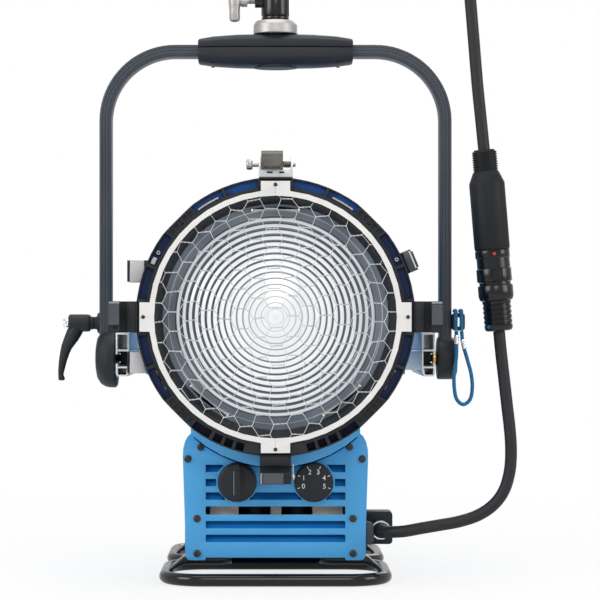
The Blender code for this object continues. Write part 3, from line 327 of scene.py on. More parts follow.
@dataclass(frozen=True)
class BrushedFinish(Finish):
    """Metal with fine parallel lines along one axis."""

    along: Axis = Axis.Z
    lines: float = 1400.0

    def height(self, graph: Graph, grain: bpy.types.Node) -> Socket:
        """Noise drawn out along the brushing."""
        scale = [0.03 if part else 1.0 for part in self.along.value]
        return graph.noise(graph.stretched(graph.place(), scale), self.lines, 2.0)


@dataclass(frozen=True)
class BraidFinish(Finish):
    """Woven cord: strands crossing both ways, read from the piece's own UV map in metres."""

    pitch: float = 0.0030

    def weave(self, graph: Graph) -> Socket:
        """One at the middle of a strand and zero between strands."""
        uv = graph.node("ShaderNodeUVMap").outputs[0]
        split = graph.node("ShaderNodeSeparateXYZ")
        graph.put(uv, split.inputs[0])
        turns = math.tau / self.pitch
        one = graph.plus(split.outputs[0], split.outputs[1])
        two = graph.minus(split.outputs[0], split.outputs[1])
        first = graph.math("ABSOLUTE", graph.math("SINE", graph.times(one, turns)))
        second = graph.math("ABSOLUTE", graph.math("SINE", graph.times(two, turns)))
        return graph.times(first, second)

    def tint(self, graph: Graph, colour: Socket) -> Socket:
        """Painted shade: darker in the grooves between the strands."""
        return graph.mix(graph.spread(self.weave(graph), 0.05, 0.5, 0.0, 1.0),
                         tuple(0.35 * part for part in self.colour), colour)

    def height(self, graph: Graph, grain: bpy.types.Node) -> Socket:
        """The strands stand up."""
        return self.weave(graph)


@dataclass(frozen=True)
class LensFinish(Finish):
    """Stepped lens painted with its light: pale lit zones parted by risers in painted shade that
    darken and widen towards the rim, with a painted glow and a painted glint.
    """

    # Painted shade: the colour of the risers, darkest towards the rim.
    riser: Colour = (0.085, 0.105, 0.135)

    def zones(self, graph: Graph) -> tuple[Socket, Socket]:
        """The share of riser at a point, and its distance from the lens axis."""
        split = graph.node("ShaderNodeSeparateXYZ")
        graph.put(graph.place(), split.inputs[0])
        x = graph.minus(split.outputs[0], SHIFT.x)
        z = graph.minus(split.outputs[2], LENS_Z)
        square = graph.plus(graph.times(x, x), graph.times(z, z))
        radius = graph.math("SQRT", square)
        steps = graph.math("DIVIDE", graph.minus(radius, FIRST_ZONE), ZONE_PITCH)
        part = graph.math("FRACT", graph.plus(steps, ZONE_SHIFT))
        off = graph.math("ABSOLUTE", graph.minus(part, 0.5))
        half = graph.spread(radius, 0.008, 0.145, 0.030, 0.275)
        edge = graph.math("DIVIDE", graph.minus(half, off), 0.05)
        return graph.plus(edge, 0.5, clamp=True), radius

    def tint(self, graph: Graph, colour: Socket) -> Socket:
        """Painted light on clear glass: pale lit zones and risers in painted shade, both falling to
        a shaded blue grey at the rim, with lighter blotches there.
        """
        riser, radius = self.zones(graph)
        outward = graph.spread(radius, 0.070, 0.146, 0.0, 1.0)
        falling = graph.math("POWER", outward, 2.2)
        swirl = graph.noise(graph.stretched(graph.place(), (1.0, 0.0, 1.0)), 7.0, 3.0)
        blotches = graph.times(graph.spread(swirl, 0.42, 0.60, 0.0, 1.0), outward)
        band = graph.mix(falling, colour, (0.66, 0.70, 0.74))
        band = graph.mix(graph.times(blotches, 0.40), band, (0.42, 0.47, 0.53))
        # Painted shade on the risers, deepening outwards.
        depth = graph.spread(radius, 0.0, 0.085, 0.20, 1.0)
        dark = graph.mix(depth, (0.78, 0.78, 0.78), self.riser)
        dark = graph.mix(graph.times(blotches, 0.55), dark, (0.24, 0.28, 0.33))
        made = graph.mix(riser, band, dark)
        rim = graph.spread(radius, 0.1442, 0.1450, 0.0, 1.0)
        lit = graph.times(graph.minus(1.0, riser),
                         graph.spread(radius, 0.035, 0.110, 0.0, 1.0))
        lit = graph.times(lit, graph.minus(1.0, rim))
        shader = graph.tree.nodes["Principled BSDF"]
        # A painted glow: the pale lit zones give out a little light of their own.
        glow = graph.mix(lit, (0.0, 0.0, 0.0), (0.90, 0.92, 0.95))
        graph.put(glow, shader.inputs["Emission Color"])
        shader.inputs["Emission Strength"].default_value = 0.22
        # A painted glint: a pale line round the glass near its edge.
        glint = graph.math("ABSOLUTE", graph.minus(radius, 0.1515))
        line = graph.times(graph.spread(glint, 0.0011, 0.0004, 0.0, 1.0),
                          graph.spread(swirl, 0.40, 0.62, 0.25, 0.9))
        # Painted shade: the glass beyond the last zone in dark blue grey.
        edge = graph.mix(graph.spread(swirl, 0.38, 0.66, 0.0, 1.0), (0.075, 0.10, 0.135),
                         (0.16, 0.195, 0.24))
        return graph.mix(rim, made, graph.mix(line, edge, (0.52, 0.57, 0.62)))


@dataclass(frozen=True)
class ClearFinish(Finish):
    """Clear glass or quartz, with a little dust that its grain spreads."""

    tint_colour: Colour = (0.93, 0.96, 0.97)

    def wire(self, graph: Graph, shader: bpy.types.Node) -> None:
        """Glass keeps a plain metallic and transmission."""
        fill(shader, Base_Color=(*self.tint_colour, 1.0), Transmission_Weight=0.95, IOR=1.46)
        grain = self.grain(graph)
        rough = graph.spread(grain.outputs["Mask"], 0.0, 1.0, *self.roughness)
        graph.put(rough, shader.inputs["Roughness"])


# Blue powder paint; its lighter blue edge colour is a painted highlight along the rounded edges.
BLUE_PAINT = Finish("blue_powder_paint", (0.055, 0.335, 0.68), (0.062, 0.355, 0.70), (0.34, 0.44),
                    0.0, 14.0, 1600.0, 0.10, 0.25, (0.16, 0.47, 0.80), 0.0009, specular=0.45)
# Blue paint in painted shade, for faces seen down the windows and the shadow line under the flange.
SHADED_BLUE = Finish("shaded_blue_paint", (0.001, 0.030, 0.15), (0.002, 0.085, 0.33), (0.4, 0.5),
                   0.0, 34.0, 1600.0, 0.08, specular=0.25)
BLACK_CASTING = Finish("black_cast_paint", (0.0085, 0.0105, 0.0135), (0.014, 0.017, 0.021),
                       (0.42, 0.55), 0.0, 22.0, 1100.0, 0.16, 0.45, (0.075, 0.075, 0.078), 0.0008,
                       specular=0.28)
BLACK_PLASTIC = Finish("black_moulding", (0.0095, 0.012, 0.0155), (0.014, 0.017, 0.0215),
                       (0.44, 0.56), 0.0, 25.0, 1900.0, 0.12, 0.3, (0.065, 0.07, 0.078), 0.0008,
                       specular=0.30)
SKID_BLACK = Finish("gloss_black_enamel", (0.0028, 0.0032, 0.0045), (0.0045, 0.005, 0.0065),
                    (0.14, 0.22), 0.0, 30.0, 500.0, 0.04, 0.15, (0.10, 0.10, 0.10), 0.0008,
                    specular=0.42)
YOKE_GREY = Finish("dark_grey_anodising", (0.040, 0.048, 0.060), (0.048, 0.057, 0.070),
                   (0.34, 0.44), 0.2, 16.0, 1500.0, 0.06, 0.5, (0.13, 0.135, 0.14), 0.0006,
                   specular=0.35)
GUARD_SILVER = Finish("pale_guard_lacquer", (0.76, 0.75, 0.73), (0.68, 0.675, 0.66), (0.34, 0.5),
                      0.15, 20.0, 800.0, 0.05, 0.3, (0.42, 0.41, 0.40), 0.0006)
WIRE_STEEL = Finish("guard_wire", (0.50, 0.505, 0.51), (0.66, 0.665, 0.665), (0.28, 0.42), 0.35,
                    60.0, 1500.0, 0.05)
BARE_ALUMINIUM = BrushedFinish("brushed_aluminium", (0.62, 0.63, 0.64), (0.72, 0.73, 0.74),
                               (0.34, 0.46), 0.55, 20.0, bump=0.12, along=Axis.Y)
TURNED_ALUMINIUM = BrushedFinish("turned_aluminium", (0.36, 0.345, 0.335), (0.46, 0.445, 0.43),
                                 (0.36, 0.48), 0.55, 25.0, bump=0.12, wear=0.4,
                                 worn=(0.80, 0.79, 0.77), wear_width=0.0008, along=Axis.X)
CHROME = Finish("bright_chrome", (0.80, 0.81, 0.83), (0.86, 0.87, 0.88), (0.06, 0.14), 1.0,
                30.0, 600.0, 0.02)
STEEL = BrushedFinish("zinc_steel", (0.40, 0.40, 0.41), (0.50, 0.50, 0.50), (0.30, 0.42), 0.9,
                      30.0, bump=0.10, wear=0.3, worn=(0.65, 0.65, 0.65), along=Axis.Z)
DARK_STEEL = Finish("blackened_screw", (0.035, 0.033, 0.032), (0.055, 0.052, 0.05), (0.32, 0.45),
                    0.6, 60.0, 1200.0, 0.08, 0.5, (0.25, 0.24, 0.23), 0.0004)
BRASS = Finish("turned_brass", (0.62, 0.43, 0.17), (0.72, 0.52, 0.23), (0.22, 0.34), 1.0, 60.0,
               1200.0, 0.06, 0.3, (0.85, 0.68, 0.36), 0.0005)
CABLE_RUBBER = Finish("cable_sheath", (0.009, 0.0095, 0.011), (0.014, 0.0145, 0.016), (0.46, 0.60),
                      0.0, 20.0, 1400.0, 0.15, specular=0.35)
LOOP_BLUE = BraidFinish("braided_blue_cord", (0.012, 0.22, 0.52), (0.02, 0.30, 0.62), (0.6, 0.8),
                        0.0, 90.0, 900.0, 0.9, pitch=0.0026)
LATCH_BRONZE = Finish("latch_casting", (0.080, 0.074, 0.066), (0.125, 0.115, 0.104), (0.34, 0.5),
                      0.55, 60.0, 900.0, 0.2, 0.6, (0.55, 0.53, 0.50), 0.0010)
IGNITER_BEIGE = Finish("potted_igniter", (0.50, 0.44, 0.37), (0.58, 0.52, 0.45), (0.5, 0.65),
                       0.0, 30.0, 700.0, 0.10)
CERAMIC = Finish("lamp_ceramic", (0.80, 0.77, 0.71), (0.86, 0.83, 0.78), (0.35, 0.5), 0.0, 40.0,
                 900.0, 0.08)
QUARTZ = ClearFinish("quartz_envelope", (0.93, 0.96, 0.97), (0.93, 0.96, 0.97), (0.02, 0.06))
MIRROR = Finish("mirror_silver", (0.86, 0.87, 0.88), (0.90, 0.91, 0.92), (0.03, 0.08), 1.0,
                30.0, 500.0, 0.01)
LENS_GLASS = LensFinish("stepped_lens_glass", (0.93, 0.94, 0.95), (0.90, 0.915, 0.93),
                        (0.10, 0.18), 0.0, 12.0, 400.0, 0.02, coat=0.7)
PALE_MARK = Finish("pale_marking", (0.80, 0.81, 0.82), (0.74, 0.75, 0.76), (0.45, 0.55), 0.0,
                   60.0, 900.0, 0.03)
RED_MARK = Finish("red_marking", (0.45, 0.02, 0.02), (0.38, 0.02, 0.02), (0.4, 0.5), 0.0, 60.0,
                  900.0, 0.03)

# Darker blue: painted shade on the louvre blades, and the real colour of the coupler's blue mark;
# its lighter blue edge colour is a painted highlight.
SHADED_LOUVRE_AND_MARK_BLUE = Finish("louvre_shade_and_mark_blue", (0.003, 0.155, 0.50), (0.004, 0.175, 0.54),
                     (0.36, 0.46), 0.0, 14.0, 1600.0, 0.08, 0.1, (0.05, 0.28, 0.60), 0.0006)
# Blue paint in deeper painted shade, for faces down the side and lower windows.
SHADED_NAVY = Finish("shaded_navy_paint", (0.0015, 0.014, 0.070), (0.003, 0.022, 0.10), (0.4, 0.5), 0.0,
              9.0, 1600.0, 0.08, specular=0.25)
MATT_BLACK = Finish("matt_black_rubber", (0.0045, 0.0055, 0.0075), (0.0065, 0.0075, 0.010),
                    (0.48, 0.6), 0.0, 25.0, 1900.0, 0.10, specular=0.25)
GLOSS_BLACK = Finish("gloss_black_moulding", (0.0030, 0.0036, 0.0048), (0.0045, 0.005, 0.007),
                     (0.16, 0.24), 0.0, 25.0, 1900.0, 0.04, specular=0.40)
SLATE = Finish("slate_casting", (0.045, 0.052, 0.062), (0.055, 0.062, 0.074), (0.36, 0.48), 0.0,
               22.0, 1400.0, 0.12, 0.3, (0.13, 0.14, 0.15), 0.0005)
# Pale grey for painted highlights along lit edges.
PAINTED_HIGHLIGHT = Finish("painted_highlight_strip", (0.23, 0.25, 0.28), (0.30, 0.32, 0.35), (0.36, 0.48), 0.2,
                   40.0, 1400.0, 0.08)
PALE_STEEL = Finish("pale_plated_steel", (0.66, 0.67, 0.68), (0.72, 0.73, 0.74), (0.34, 0.46),
                    0.25, 30.0, 1200.0, 0.05, 0.3, (0.40, 0.41, 0.42), 0.0005)
HINGE_GREY = Finish("hinge_plate_grey", (0.50, 0.49, 0.50), (0.56, 0.55, 0.56), (0.36, 0.48), 0.1,
                    30.0, 1200.0, 0.08, 0.4, (0.30, 0.30, 0.31), 0.0006)
DARK_CATCH = Finish("dark_plated_catch", (0.040, 0.045, 0.052), (0.060, 0.066, 0.074),
                    (0.28, 0.4), 0.4, 30.0, 1200.0, 0.08, 0.5, (0.35, 0.36, 0.38), 0.0006)
BRONZE_SPRING = Finish("bronze_spring", (0.09, 0.055, 0.03), (0.13, 0.08, 0.045), (0.3, 0.4),
                       0.8, 60.0, 1200.0, 0.06)
COUPLER_FRONT = 90.0                 # degrees about the coupler's axis that face the viewer

SLOT_FINISH = {
    "blue_paint": BLUE_PAINT, "black_casting": BLACK_CASTING, "black_plastic": BLACK_PLASTIC,
    "skid_black": SKID_BLACK, "yoke_grey": YOKE_GREY, "guard_silver": GUARD_SILVER,
    "wire_steel": WIRE_STEEL, "lens_glass": LENS_GLASS, "bare_aluminium": BARE_ALUMINIUM,
    "chrome": CHROME, "steel": STEEL, "brass": BRASS, "cable_rubber": CABLE_RUBBER,
    "loop_cord": LOOP_BLUE, "latch_bronze": LATCH_BRONZE, "igniter_beige": IGNITER_BEIGE,
    "ceramic": CERAMIC, "quartz": QUARTZ, "mirror": MIRROR,
}


# ---------------------------------------------------------------- modelling by hand
def at(x: float, y: float, z: float) -> Vector:
    """A place in the lamp's drawing frame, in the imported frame."""
    return Vector((x, y, z)) + SHIFT


ORIGIN = at(0.0, 0.0, 0.0)


def drop_selection() -> None:
    """Back to object mode with nothing selected."""
    if bpy.context.mode != "OBJECT":
        bpy.ops.object.mode_set(mode="OBJECT")
    bpy.ops.object.select_all(action="DESELECT")


def take(piece: Piece) -> None:
    """Selects one piece alone and makes it active."""
    drop_selection()
    piece.select_set(True)
    bpy.context.view_layer.objects.active = piece


def linked(name: str, data: bpy.types.ID) -> Piece:
    """A new object on some data, put in the scene."""
    made = bpy.data.objects.new(name, data)
    bpy.context.collection.objects.link(made)
    return made


def edit(piece: Piece) -> None:
    """Opens a piece for editing by faces, with nothing selected."""
    take(piece)
    bpy.ops.object.mode_set(mode="EDIT")
    bpy.ops.mesh.select_mode(type="FACE")
    bpy.ops.mesh.select_all(action="DESELECT")


def select_all() -> None:
    """Selects everything in the mesh that is being edited."""
    bpy.ops.mesh.select_all(action="SELECT")


def outwards(piece: Piece, weld: float = WELD) -> None:
    """Merges an edited piece's doubles, turns its faces outwards and leaves edit mode.

    Args:
        piece: The piece that is being edited.
        weld: Vertices closer than this are merged; with zero, none are.
    """
    select_all()
    if weld:
        bpy.ops.mesh.remove_doubles(threshold=weld)
    bpy.ops.mesh.normals_make_consistent(inside=False)
    take(piece)


def smoothed(piece: Piece, degrees: float) -> Piece:
    """Shades a piece smooth across the edges that are flatter than an angle."""
    take(piece)
    bpy.ops.object.shade_smooth_by_angle(angle=math.radians(degrees))
    return piece


def pick_faces(piece: Piece, test: Test) -> None:
    """Selects the faces of an edited piece whose centre and normal pass a test."""
    bpy.ops.object.mode_set(mode="OBJECT")
    for face in piece.data.polygons:
        face.select = test(face.center, face.normal)
    bpy.ops.object.mode_set(mode="EDIT")
    bpy.ops.mesh.select_mode(type="FACE")


def settle(piece: Piece) -> None:
    """Moves a piece's place, turn and size into its mesh."""
    take(piece)
    bpy.ops.object.transform_apply(location=True, rotation=True, scale=True)


def modify(piece: Piece, kind: str, **settings: object) -> None:
    """Adds a modifier and applies it."""
    take(piece)
    modifier = piece.modifiers.new(kind.title(), kind)
    for name, value in settings.items():
        setattr(modifier, name, value)
    bpy.ops.object.modifier_apply(modifier=modifier.name)


def bevelled(piece: Piece, width: float, segments: int = 2, angle: float = 35.0
             ) -> Piece:
    """Rounds the sharp edges and shades the piece smooth between them."""
    modify(piece, "BEVEL", width=width, segments=segments, limit_method="ANGLE",
           angle_limit=math.radians(angle), use_clamp_overlap=True)
    return smoothed(piece, BEVEL_SMOOTH)


def carry(piece: Piece, name: str, body: str, finish: Finish) -> Piece:
    """Names a finished piece, paints it and gives it to the body that it rides on.

    Args:
        piece: The finished piece.
        name: Its name in the table of pieces.
        body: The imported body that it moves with.
        finish: Its finish.

    Returns:
        The piece.
    """
    drop_selection()
    piece.name = name
    piece.data.name = name
    piece.data.materials.clear()
    piece.data.materials.append(finish.material())
    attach(piece, body)
    log.info("%s rides on %s", name, body)
    return piece


def stand_in(piece: Piece, name: str, finish: Finish, node: str) -> Piece:
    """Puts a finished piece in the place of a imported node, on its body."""
    carry(piece, name, BODY_OF[node], finish)
    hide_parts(node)
    return piece


def merged(node: str) -> Piece:
    """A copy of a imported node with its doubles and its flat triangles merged."""
    piece = linked(node + "_copy", frame["nodes"][node].data.copy())
    edit(piece)
    select_all()
    bpy.ops.mesh.remove_doubles(threshold=1e-5)
    bpy.ops.mesh.dissolve_limited(angle_limit=FLAT)
    take(piece)
    return piece


def softened(node: str, width: float, segments: int = 2, finish: Finish | None = None,
             angle: float = 35.0) -> Piece:
    """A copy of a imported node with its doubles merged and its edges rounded, in its place.

    Args:
        node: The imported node.
        width: The bevel's width in metres.
        segments: Its segments.
        finish: Its finish, or None for that of its slot.
        angle: Edges sharper than this many degrees are rounded.

    Returns:
        The new piece.
    """
    finish = finish or SLOT_FINISH[SLOT_OF[node]]
    piece = bevelled(merged(node), width, segments, angle)
    return stand_in(piece, node + "_rounded", finish, node)


def polyline(name: str, points: Sequence[Point], closed: bool = False) -> Piece:
    """A chain of edges, drawn by extruding one vertex from point to point.

    Args:
        name: The new object's name.
        points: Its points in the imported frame.
        closed: Whether the last point is joined to the first.

    Returns:
        The wire object, still in edit mode with everything selected.
    """
    drop_selection()
    bpy.ops.mesh.primitive_plane_add(size=1.0, location=(0, 0, 0))
    made = bpy.context.object
    made.name = name
    bpy.ops.object.mode_set(mode="EDIT")
    bpy.ops.mesh.select_mode(type="VERT")
    select_all()
    bpy.ops.mesh.merge(type="CENTER")
    bpy.ops.transform.translate(value=Vector(points[0]))
    for before, after in zip(points, points[1:]):
        step = Vector(after) - Vector(before)
        bpy.ops.mesh.extrude_region_move(TRANSFORM_OT_translate={"value": step})
    select_all()
    if closed:
        bpy.ops.object.mode_set(mode="OBJECT")
        for number, vertex in enumerate(made.data.vertices):
            vertex.select = number in (0, len(points) - 1)
        bpy.ops.object.mode_set(mode="EDIT")
        bpy.ops.mesh.edge_face_add()
        select_all()
    return made


def spun(name: str, profile: Sequence[tuple[float, float]], axis: Axis, centre: Vector,
         steps: int = 48, closed: bool = False, angle: float = 30.0) -> Piece:
    """A turned piece: a profile of (radius, along) spun about an axis.

    Args:
        name: The new object's name.
        profile: Radius and place along the axis, in the drawing frame.
        axis: The axis's direction.
        centre: A point on the axis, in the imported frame.
        steps: Sides of the turned piece.
        closed: Whether the profile is a loop clear of the axis.
        angle: Edges flatter than this are shaded smooth.

    Returns:
        The turned piece.
    """
    along = Vector(axis.value)
    out = Vector((0.0, 0.0, 1.0)) if axis is not Axis.Z else Vector((1.0, 0.0, 0.0))
    base = centre - along * centre.dot(along)
    shift = SHIFT.dot(along)
    points = [base + out * radius + along * (far + shift) for radius, far in profile]
    made = polyline(name, points, closed)
    bpy.ops.mesh.spin(steps=steps, angle=math.tau, center=centre, axis=along)
    outwards(made)
    return smoothed(made, angle)


def plate(name: str, outline: Sequence[Point], depth: Vector) -> Piece:
    """A solid pulled out of a flat outline.

    Args:
        name: The new object's name.
        outline: The outline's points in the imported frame.
        depth: How far and in which direction it is pulled.

    Returns:
        The solid.
    """
    made = polyline(name, outline, True)
    bpy.ops.mesh.edge_face_add()
    select_all()
    bpy.ops.mesh.extrude_region_move(TRANSFORM_OT_translate={"value": depth})
    outwards(made, 0.0)
    return made


def slabbed(name: str, low: Point, high: Point, width: float = 0.0006, segments: int = 2
            ) -> Piece:
    """A block between two corners in the drawing frame, with rounded edges."""
    drop_selection()
    middle = at(*[(a + b) / 2 for a, b in zip(low, high)])
    bpy.ops.mesh.primitive_cube_add(size=1.0, location=middle,
                                    scale=[abs(b - a) for a, b in zip(low, high)])
    made = bpy.context.object
    made.name = name
    settle(made)
    return bevelled(made, width, segments)


def cut_with(piece: Piece, tools: Iterable[Piece]) -> None:
    """Cuts each tool out of a piece and deletes the tool."""
    for tool in list(tools):
        modify(piece, "BOOLEAN", operation="DIFFERENCE", solver="EXACT", object=tool)
        bpy.data.objects.remove(tool)


def joined(pieces: Sequence[Piece]) -> Piece:
    """Several pieces as one object."""
    take(pieces[0])
    for piece in pieces[1:]:
        piece.select_set(True)
    if len(pieces) > 1:
        bpy.ops.object.join()
    return pieces[0]


def placed(piece: Piece, matrix: Matrix) -> Piece:
    """A piece moved by a matrix."""
    piece.matrix_world = matrix
    settle(piece)
    return piece


def copied(piece: Piece, matrix: Matrix) -> Piece:
    """A copy of a piece with its own mesh, moved by a matrix."""
    return placed(linked(piece.name + "_copy", piece.data.copy()), matrix)


def arc(centre: tuple[float, float], radius: float, start: float, end: float, steps: int
        ) -> list[tuple[float, float]]:
    """Points on an arc in degrees, both ends included."""
    turns = [math.radians(start + (end - start) * i / steps) for i in range(steps + 1)]
    return [(centre[0] + radius * math.cos(a), centre[1] + radius * math.sin(a)) for a in turns]


def piped(name: str, paths: Sequence[Sequence[Point]], radius: float, sides: int = 4,
          closed: bool = False, radii: Sequence[float] = (), weld: float = WELD,
          angle: float = 40.0) -> Piece:
    """Round bars along paths, drawn as one curve and made a mesh.

    Args:
        name: The new object's name.
        paths: Each bar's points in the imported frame.
        radius: The bars' radius.
        sides: How finely they are rounded.
        closed: Whether each bar is a loop.
        radii: Shares of the radius from point to point.
        weld: Vertices closer than this are merged.
        angle: Edges flatter than this are shaded smooth.

    Returns:
        The bars as one object.
    """
    curve = bpy.data.curves.new(name, "CURVE")
    curve.dimensions = "3D"
    curve.bevel_depth = radius
    curve.bevel_resolution = sides
    curve.use_fill_caps = True
    for path in paths:
        spline = curve.splines.new("POLY")
        spline.points.add(len(path) - 1)
        for target, point in zip(spline.points, path):
            target.co = (*point, 1.0)
        for target, share in zip(spline.points, radii):
            target.radius = share
        spline.use_cyclic_u = closed
    take(linked(name, curve))
    bpy.ops.object.convert(target="MESH")
    made = bpy.context.object
    edit(made)
    outwards(made, weld)
    return smoothed(made, angle)


# ---------------------------------------------------------------- studio
@dataclass
class Studio:
    """The photograph's camera, plain soft light and a pale floor."""

    distance: float = 3.0
    lens_mm: float = 128.57
    lens_pixel: tuple[float, float] = (275.5, 317.0)
    picture: int = 600
    floor_size: float = 60.0
    floor_gap: float = 0.0006

    def build(self) -> None:
        """Makes the camera, the lamps, the world and the floor."""
        self.camera()
        self.lamps()
        self.world()
        self.floor()
        bpy.context.scene.view_settings.view_transform = "Standard"

    def camera(self) -> None:
        """Level with the lens, with the lens axis at its pixel in the photograph."""
        data = bpy.data.cameras.new("studio_camera")
        data.lens = self.lens_mm
        data.sensor_width = 36.0
        half = self.picture / 2
        data.shift_x = (half - self.lens_pixel[0]) / self.picture
        data.shift_y = (self.lens_pixel[1] - half) / self.picture
        data.clip_end = 50.0
        made = linked("studio_camera", data)
        made.location = at(0.0, -self.distance, LENS_Z)
        made.rotation_euler = (math.pi / 2, 0.0, 0.0)
        bpy.context.scene.camera = made

    def lamps(self) -> None:
        """Soft boxes left, right, above and behind."""
        middle = Vector((0.0, 0.0, 0.40))
        boxes = (
            ("box_left", (-2.3, -1.7, 1.5), 1.5, 38.0),
            ("box_right", (2.4, -1.3, 1.2), 1.3, 24.0),
            ("box_front", (0.2, -3.4, 1.9), 1.2, 21.0),
            ("box_above", (0.0, -0.1, 2.6), 1.8, 30.0),
            ("box_behind", (0.6, 2.4, 1.8), 1.6, 22.0),
        )
        for name, place, size, power in boxes:
            data = bpy.data.lights.new(name, "AREA")
            data.shape = "SQUARE"
            data.size = size
            data.energy = power
            made = linked(name, data)
            made.location = place
            made.rotation_euler = (middle - Vector(place)).to_track_quat("-Z", "Y").to_euler()

    def world(self) -> None:
        """White where it is seen, a softer grey where it only lights."""
        world = bpy.data.worlds.new("studio_world")
        world.use_nodes = True
        bpy.context.scene.world = world
        graph = Graph(world.node_tree)
        world.node_tree.nodes.clear()
        paths = graph.node("ShaderNodeLightPath")
        seen = graph.math("MAXIMUM", paths.outputs["Is Camera Ray"],
                          paths.outputs["Is Transmission Ray"])
        shiny = graph.times(paths.outputs["Is Glossy Ray"], 0.55)
        seen = graph.math("MAXIMUM", seen, shiny)
        back = graph.node("ShaderNodeBackground")
        back.inputs["Color"].default_value = (1.0, 1.0, 1.0, 1.0)
        graph.put(graph.spread(seen, 0.0, 1.0, 0.36, 1.0), back.inputs["Strength"])
        out = graph.node("ShaderNodeOutputWorld")
        graph.put(back.outputs[0], out.inputs["Surface"])

    def floor(self) -> None:
        """A pale floor that keeps the lamp's shadow and fades into the background."""
        drop_selection()
        bpy.ops.mesh.primitive_plane_add(size=self.floor_size,
                                         location=(0.0, 0.0, -self.floor_gap))
        made = bpy.context.object
        made.name = "studio_floor"
        made.data.materials.append(self.floor_material())

    def floor_material(self) -> bpy.types.Material:
        """Pale matt floor, mostly white to the camera."""
        made = bpy.data.materials.new("pale_floor")
        made.use_nodes = True
        graph = Graph(made.node_tree)
        shader = made.node_tree.nodes["Principled BSDF"]
        fill(shader, Base_Color=(0.86, 0.86, 0.86, 1.0), Roughness=0.9, Specular_IOR_Level=0.0)
        glow = graph.node("ShaderNodeEmission")
        glow.inputs["Color"].default_value = (1.0, 1.0, 1.0, 1.0)
        paths = graph.node("ShaderNodeLightPath")
        radius = graph.node("ShaderNodeVectorMath", operation="LENGTH")
        graph.put(graph.place(), radius.inputs[0])
        white = graph.spread(radius.outputs["Value"], 0.45, 1.5, 0.80, 1.0)
        share = graph.times(paths.outputs["Is Camera Ray"], white)
        shiny = graph.times(paths.outputs["Is Glossy Ray"], 0.40)
        mixed = graph.node("ShaderNodeMixShader")
        graph.put(graph.math("MAXIMUM", share, shiny), mixed.inputs[0])
        graph.put(shader.outputs[0], mixed.inputs[1])
        graph.put(glow.outputs[0], mixed.inputs[2])
        out = made.node_tree.nodes["Material Output"]
        graph.put(mixed.outputs[0], out.inputs["Surface"])
        return made


# ---------------------------------------------------------------- cables
def smooth_route(points: Sequence[Point], spacing: float) -> list[Vector]:
    """Evenly spaced points read from a smooth curve through a short list.

    Args:
        points: The points that the curve goes through, in the drawing frame.
        spacing: The wanted distance between the points.

    Returns:
        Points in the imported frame.
    """
    route = [Vector(p) + SHIFT for p in points]
    ends = [route[0] * 2 - route[1]] + route + [route[-1] * 2 - route[-2]]
    fine: list[Vector] = []
    for a, b, c, d in zip(ends, ends[1:], ends[2:], ends[3:]):
        for i in range(CURVE_STEPS):
            t = i / CURVE_STEPS
            fine.append(0.5 * (2 * b + (c - a) * t + (2 * a - 5 * b + 4 * c - d) * t**2
                               + (3 * b - a - 3 * c + d) * t**3))
    fine.append(route[-1])
    lengths = [0.0]
    for one, two in zip(fine, fine[1:]):
        lengths.append(lengths[-1] + (two - one).length)
    count = max(2, round(lengths[-1] / spacing))
    even = []
    index = 0
    for step in range(count + 1):
        want = lengths[-1] * step / count
        while index < len(fine) - 2 and lengths[index + 1] < want:
            index += 1
        share = (want - lengths[index]) / (lengths[index + 1] - lengths[index])
        even.append(fine[index].lerp(fine[index + 1], share))
    return even


def tube_along(name: str, path: Sequence[Vector], radius: float, sides: int) -> Piece:
    """A cord's mesh, with a UV map in metres round it and along it.

    Args:
        name: The new object's name.
        path: The cord's centreline.
        radius: Its radius.
        sides: Its sides.

    Returns:
        The mesh object.
    """
    points: list[Vector] = []
    side = None
    travelled = [0.0]
    for i, point in enumerate(path):
        before = path[max(i - 1, 0)]
        after = path[min(i + 1, len(path) - 1)]
        along = (after - before).normalized()
        side = along.cross(Vector((0, 1, 0))) if side is None else side
        if side.length < 1e-6:
            side = along.orthogonal()
        side = (side - along * side.dot(along)).normalized()
        up = along.cross(side)
        if i:
            travelled.append(travelled[-1] + (point - path[i - 1]).length)
        for k in range(sides):
            turn = math.tau * k / sides
            points.append(point + (side * math.cos(turn) + up * math.sin(turn)) * radius)
    faces = [tuple(reversed(range(sides)))]
    corners: list[tuple[float, float]] = [(0.0, 0.0)] * sides
    girth = math.tau * radius
    for i in range(len(path) - 1):
        for k in range(sides):
            low, high = i * sides, (i + 1) * sides
            nxt = (k + 1) % sides
            faces.append((low + k, low + nxt, high + nxt, high + k))
            u0, u1 = girth * k / sides, girth * (k + 1) / sides
            corners += [(u0, travelled[i]), (u1, travelled[i]), (u1, travelled[i + 1]),
                        (u0, travelled[i + 1])]
    faces.append(tuple((len(path) - 1) * sides + k for k in range(sides)))
    corners += [(0.0, 0.0)] * sides
    mesh = bpy.data.meshes.new(name)
    mesh.from_pydata(points, [], faces)
    layer = mesh.uv_layers.new(name="UVMap")
    for corner, uv in zip(layer.data, corners):
        corner.uv = uv
    made = linked(name, mesh)
    edit(made)
    outwards(made, 0.0)
    return smoothed(made, 50)


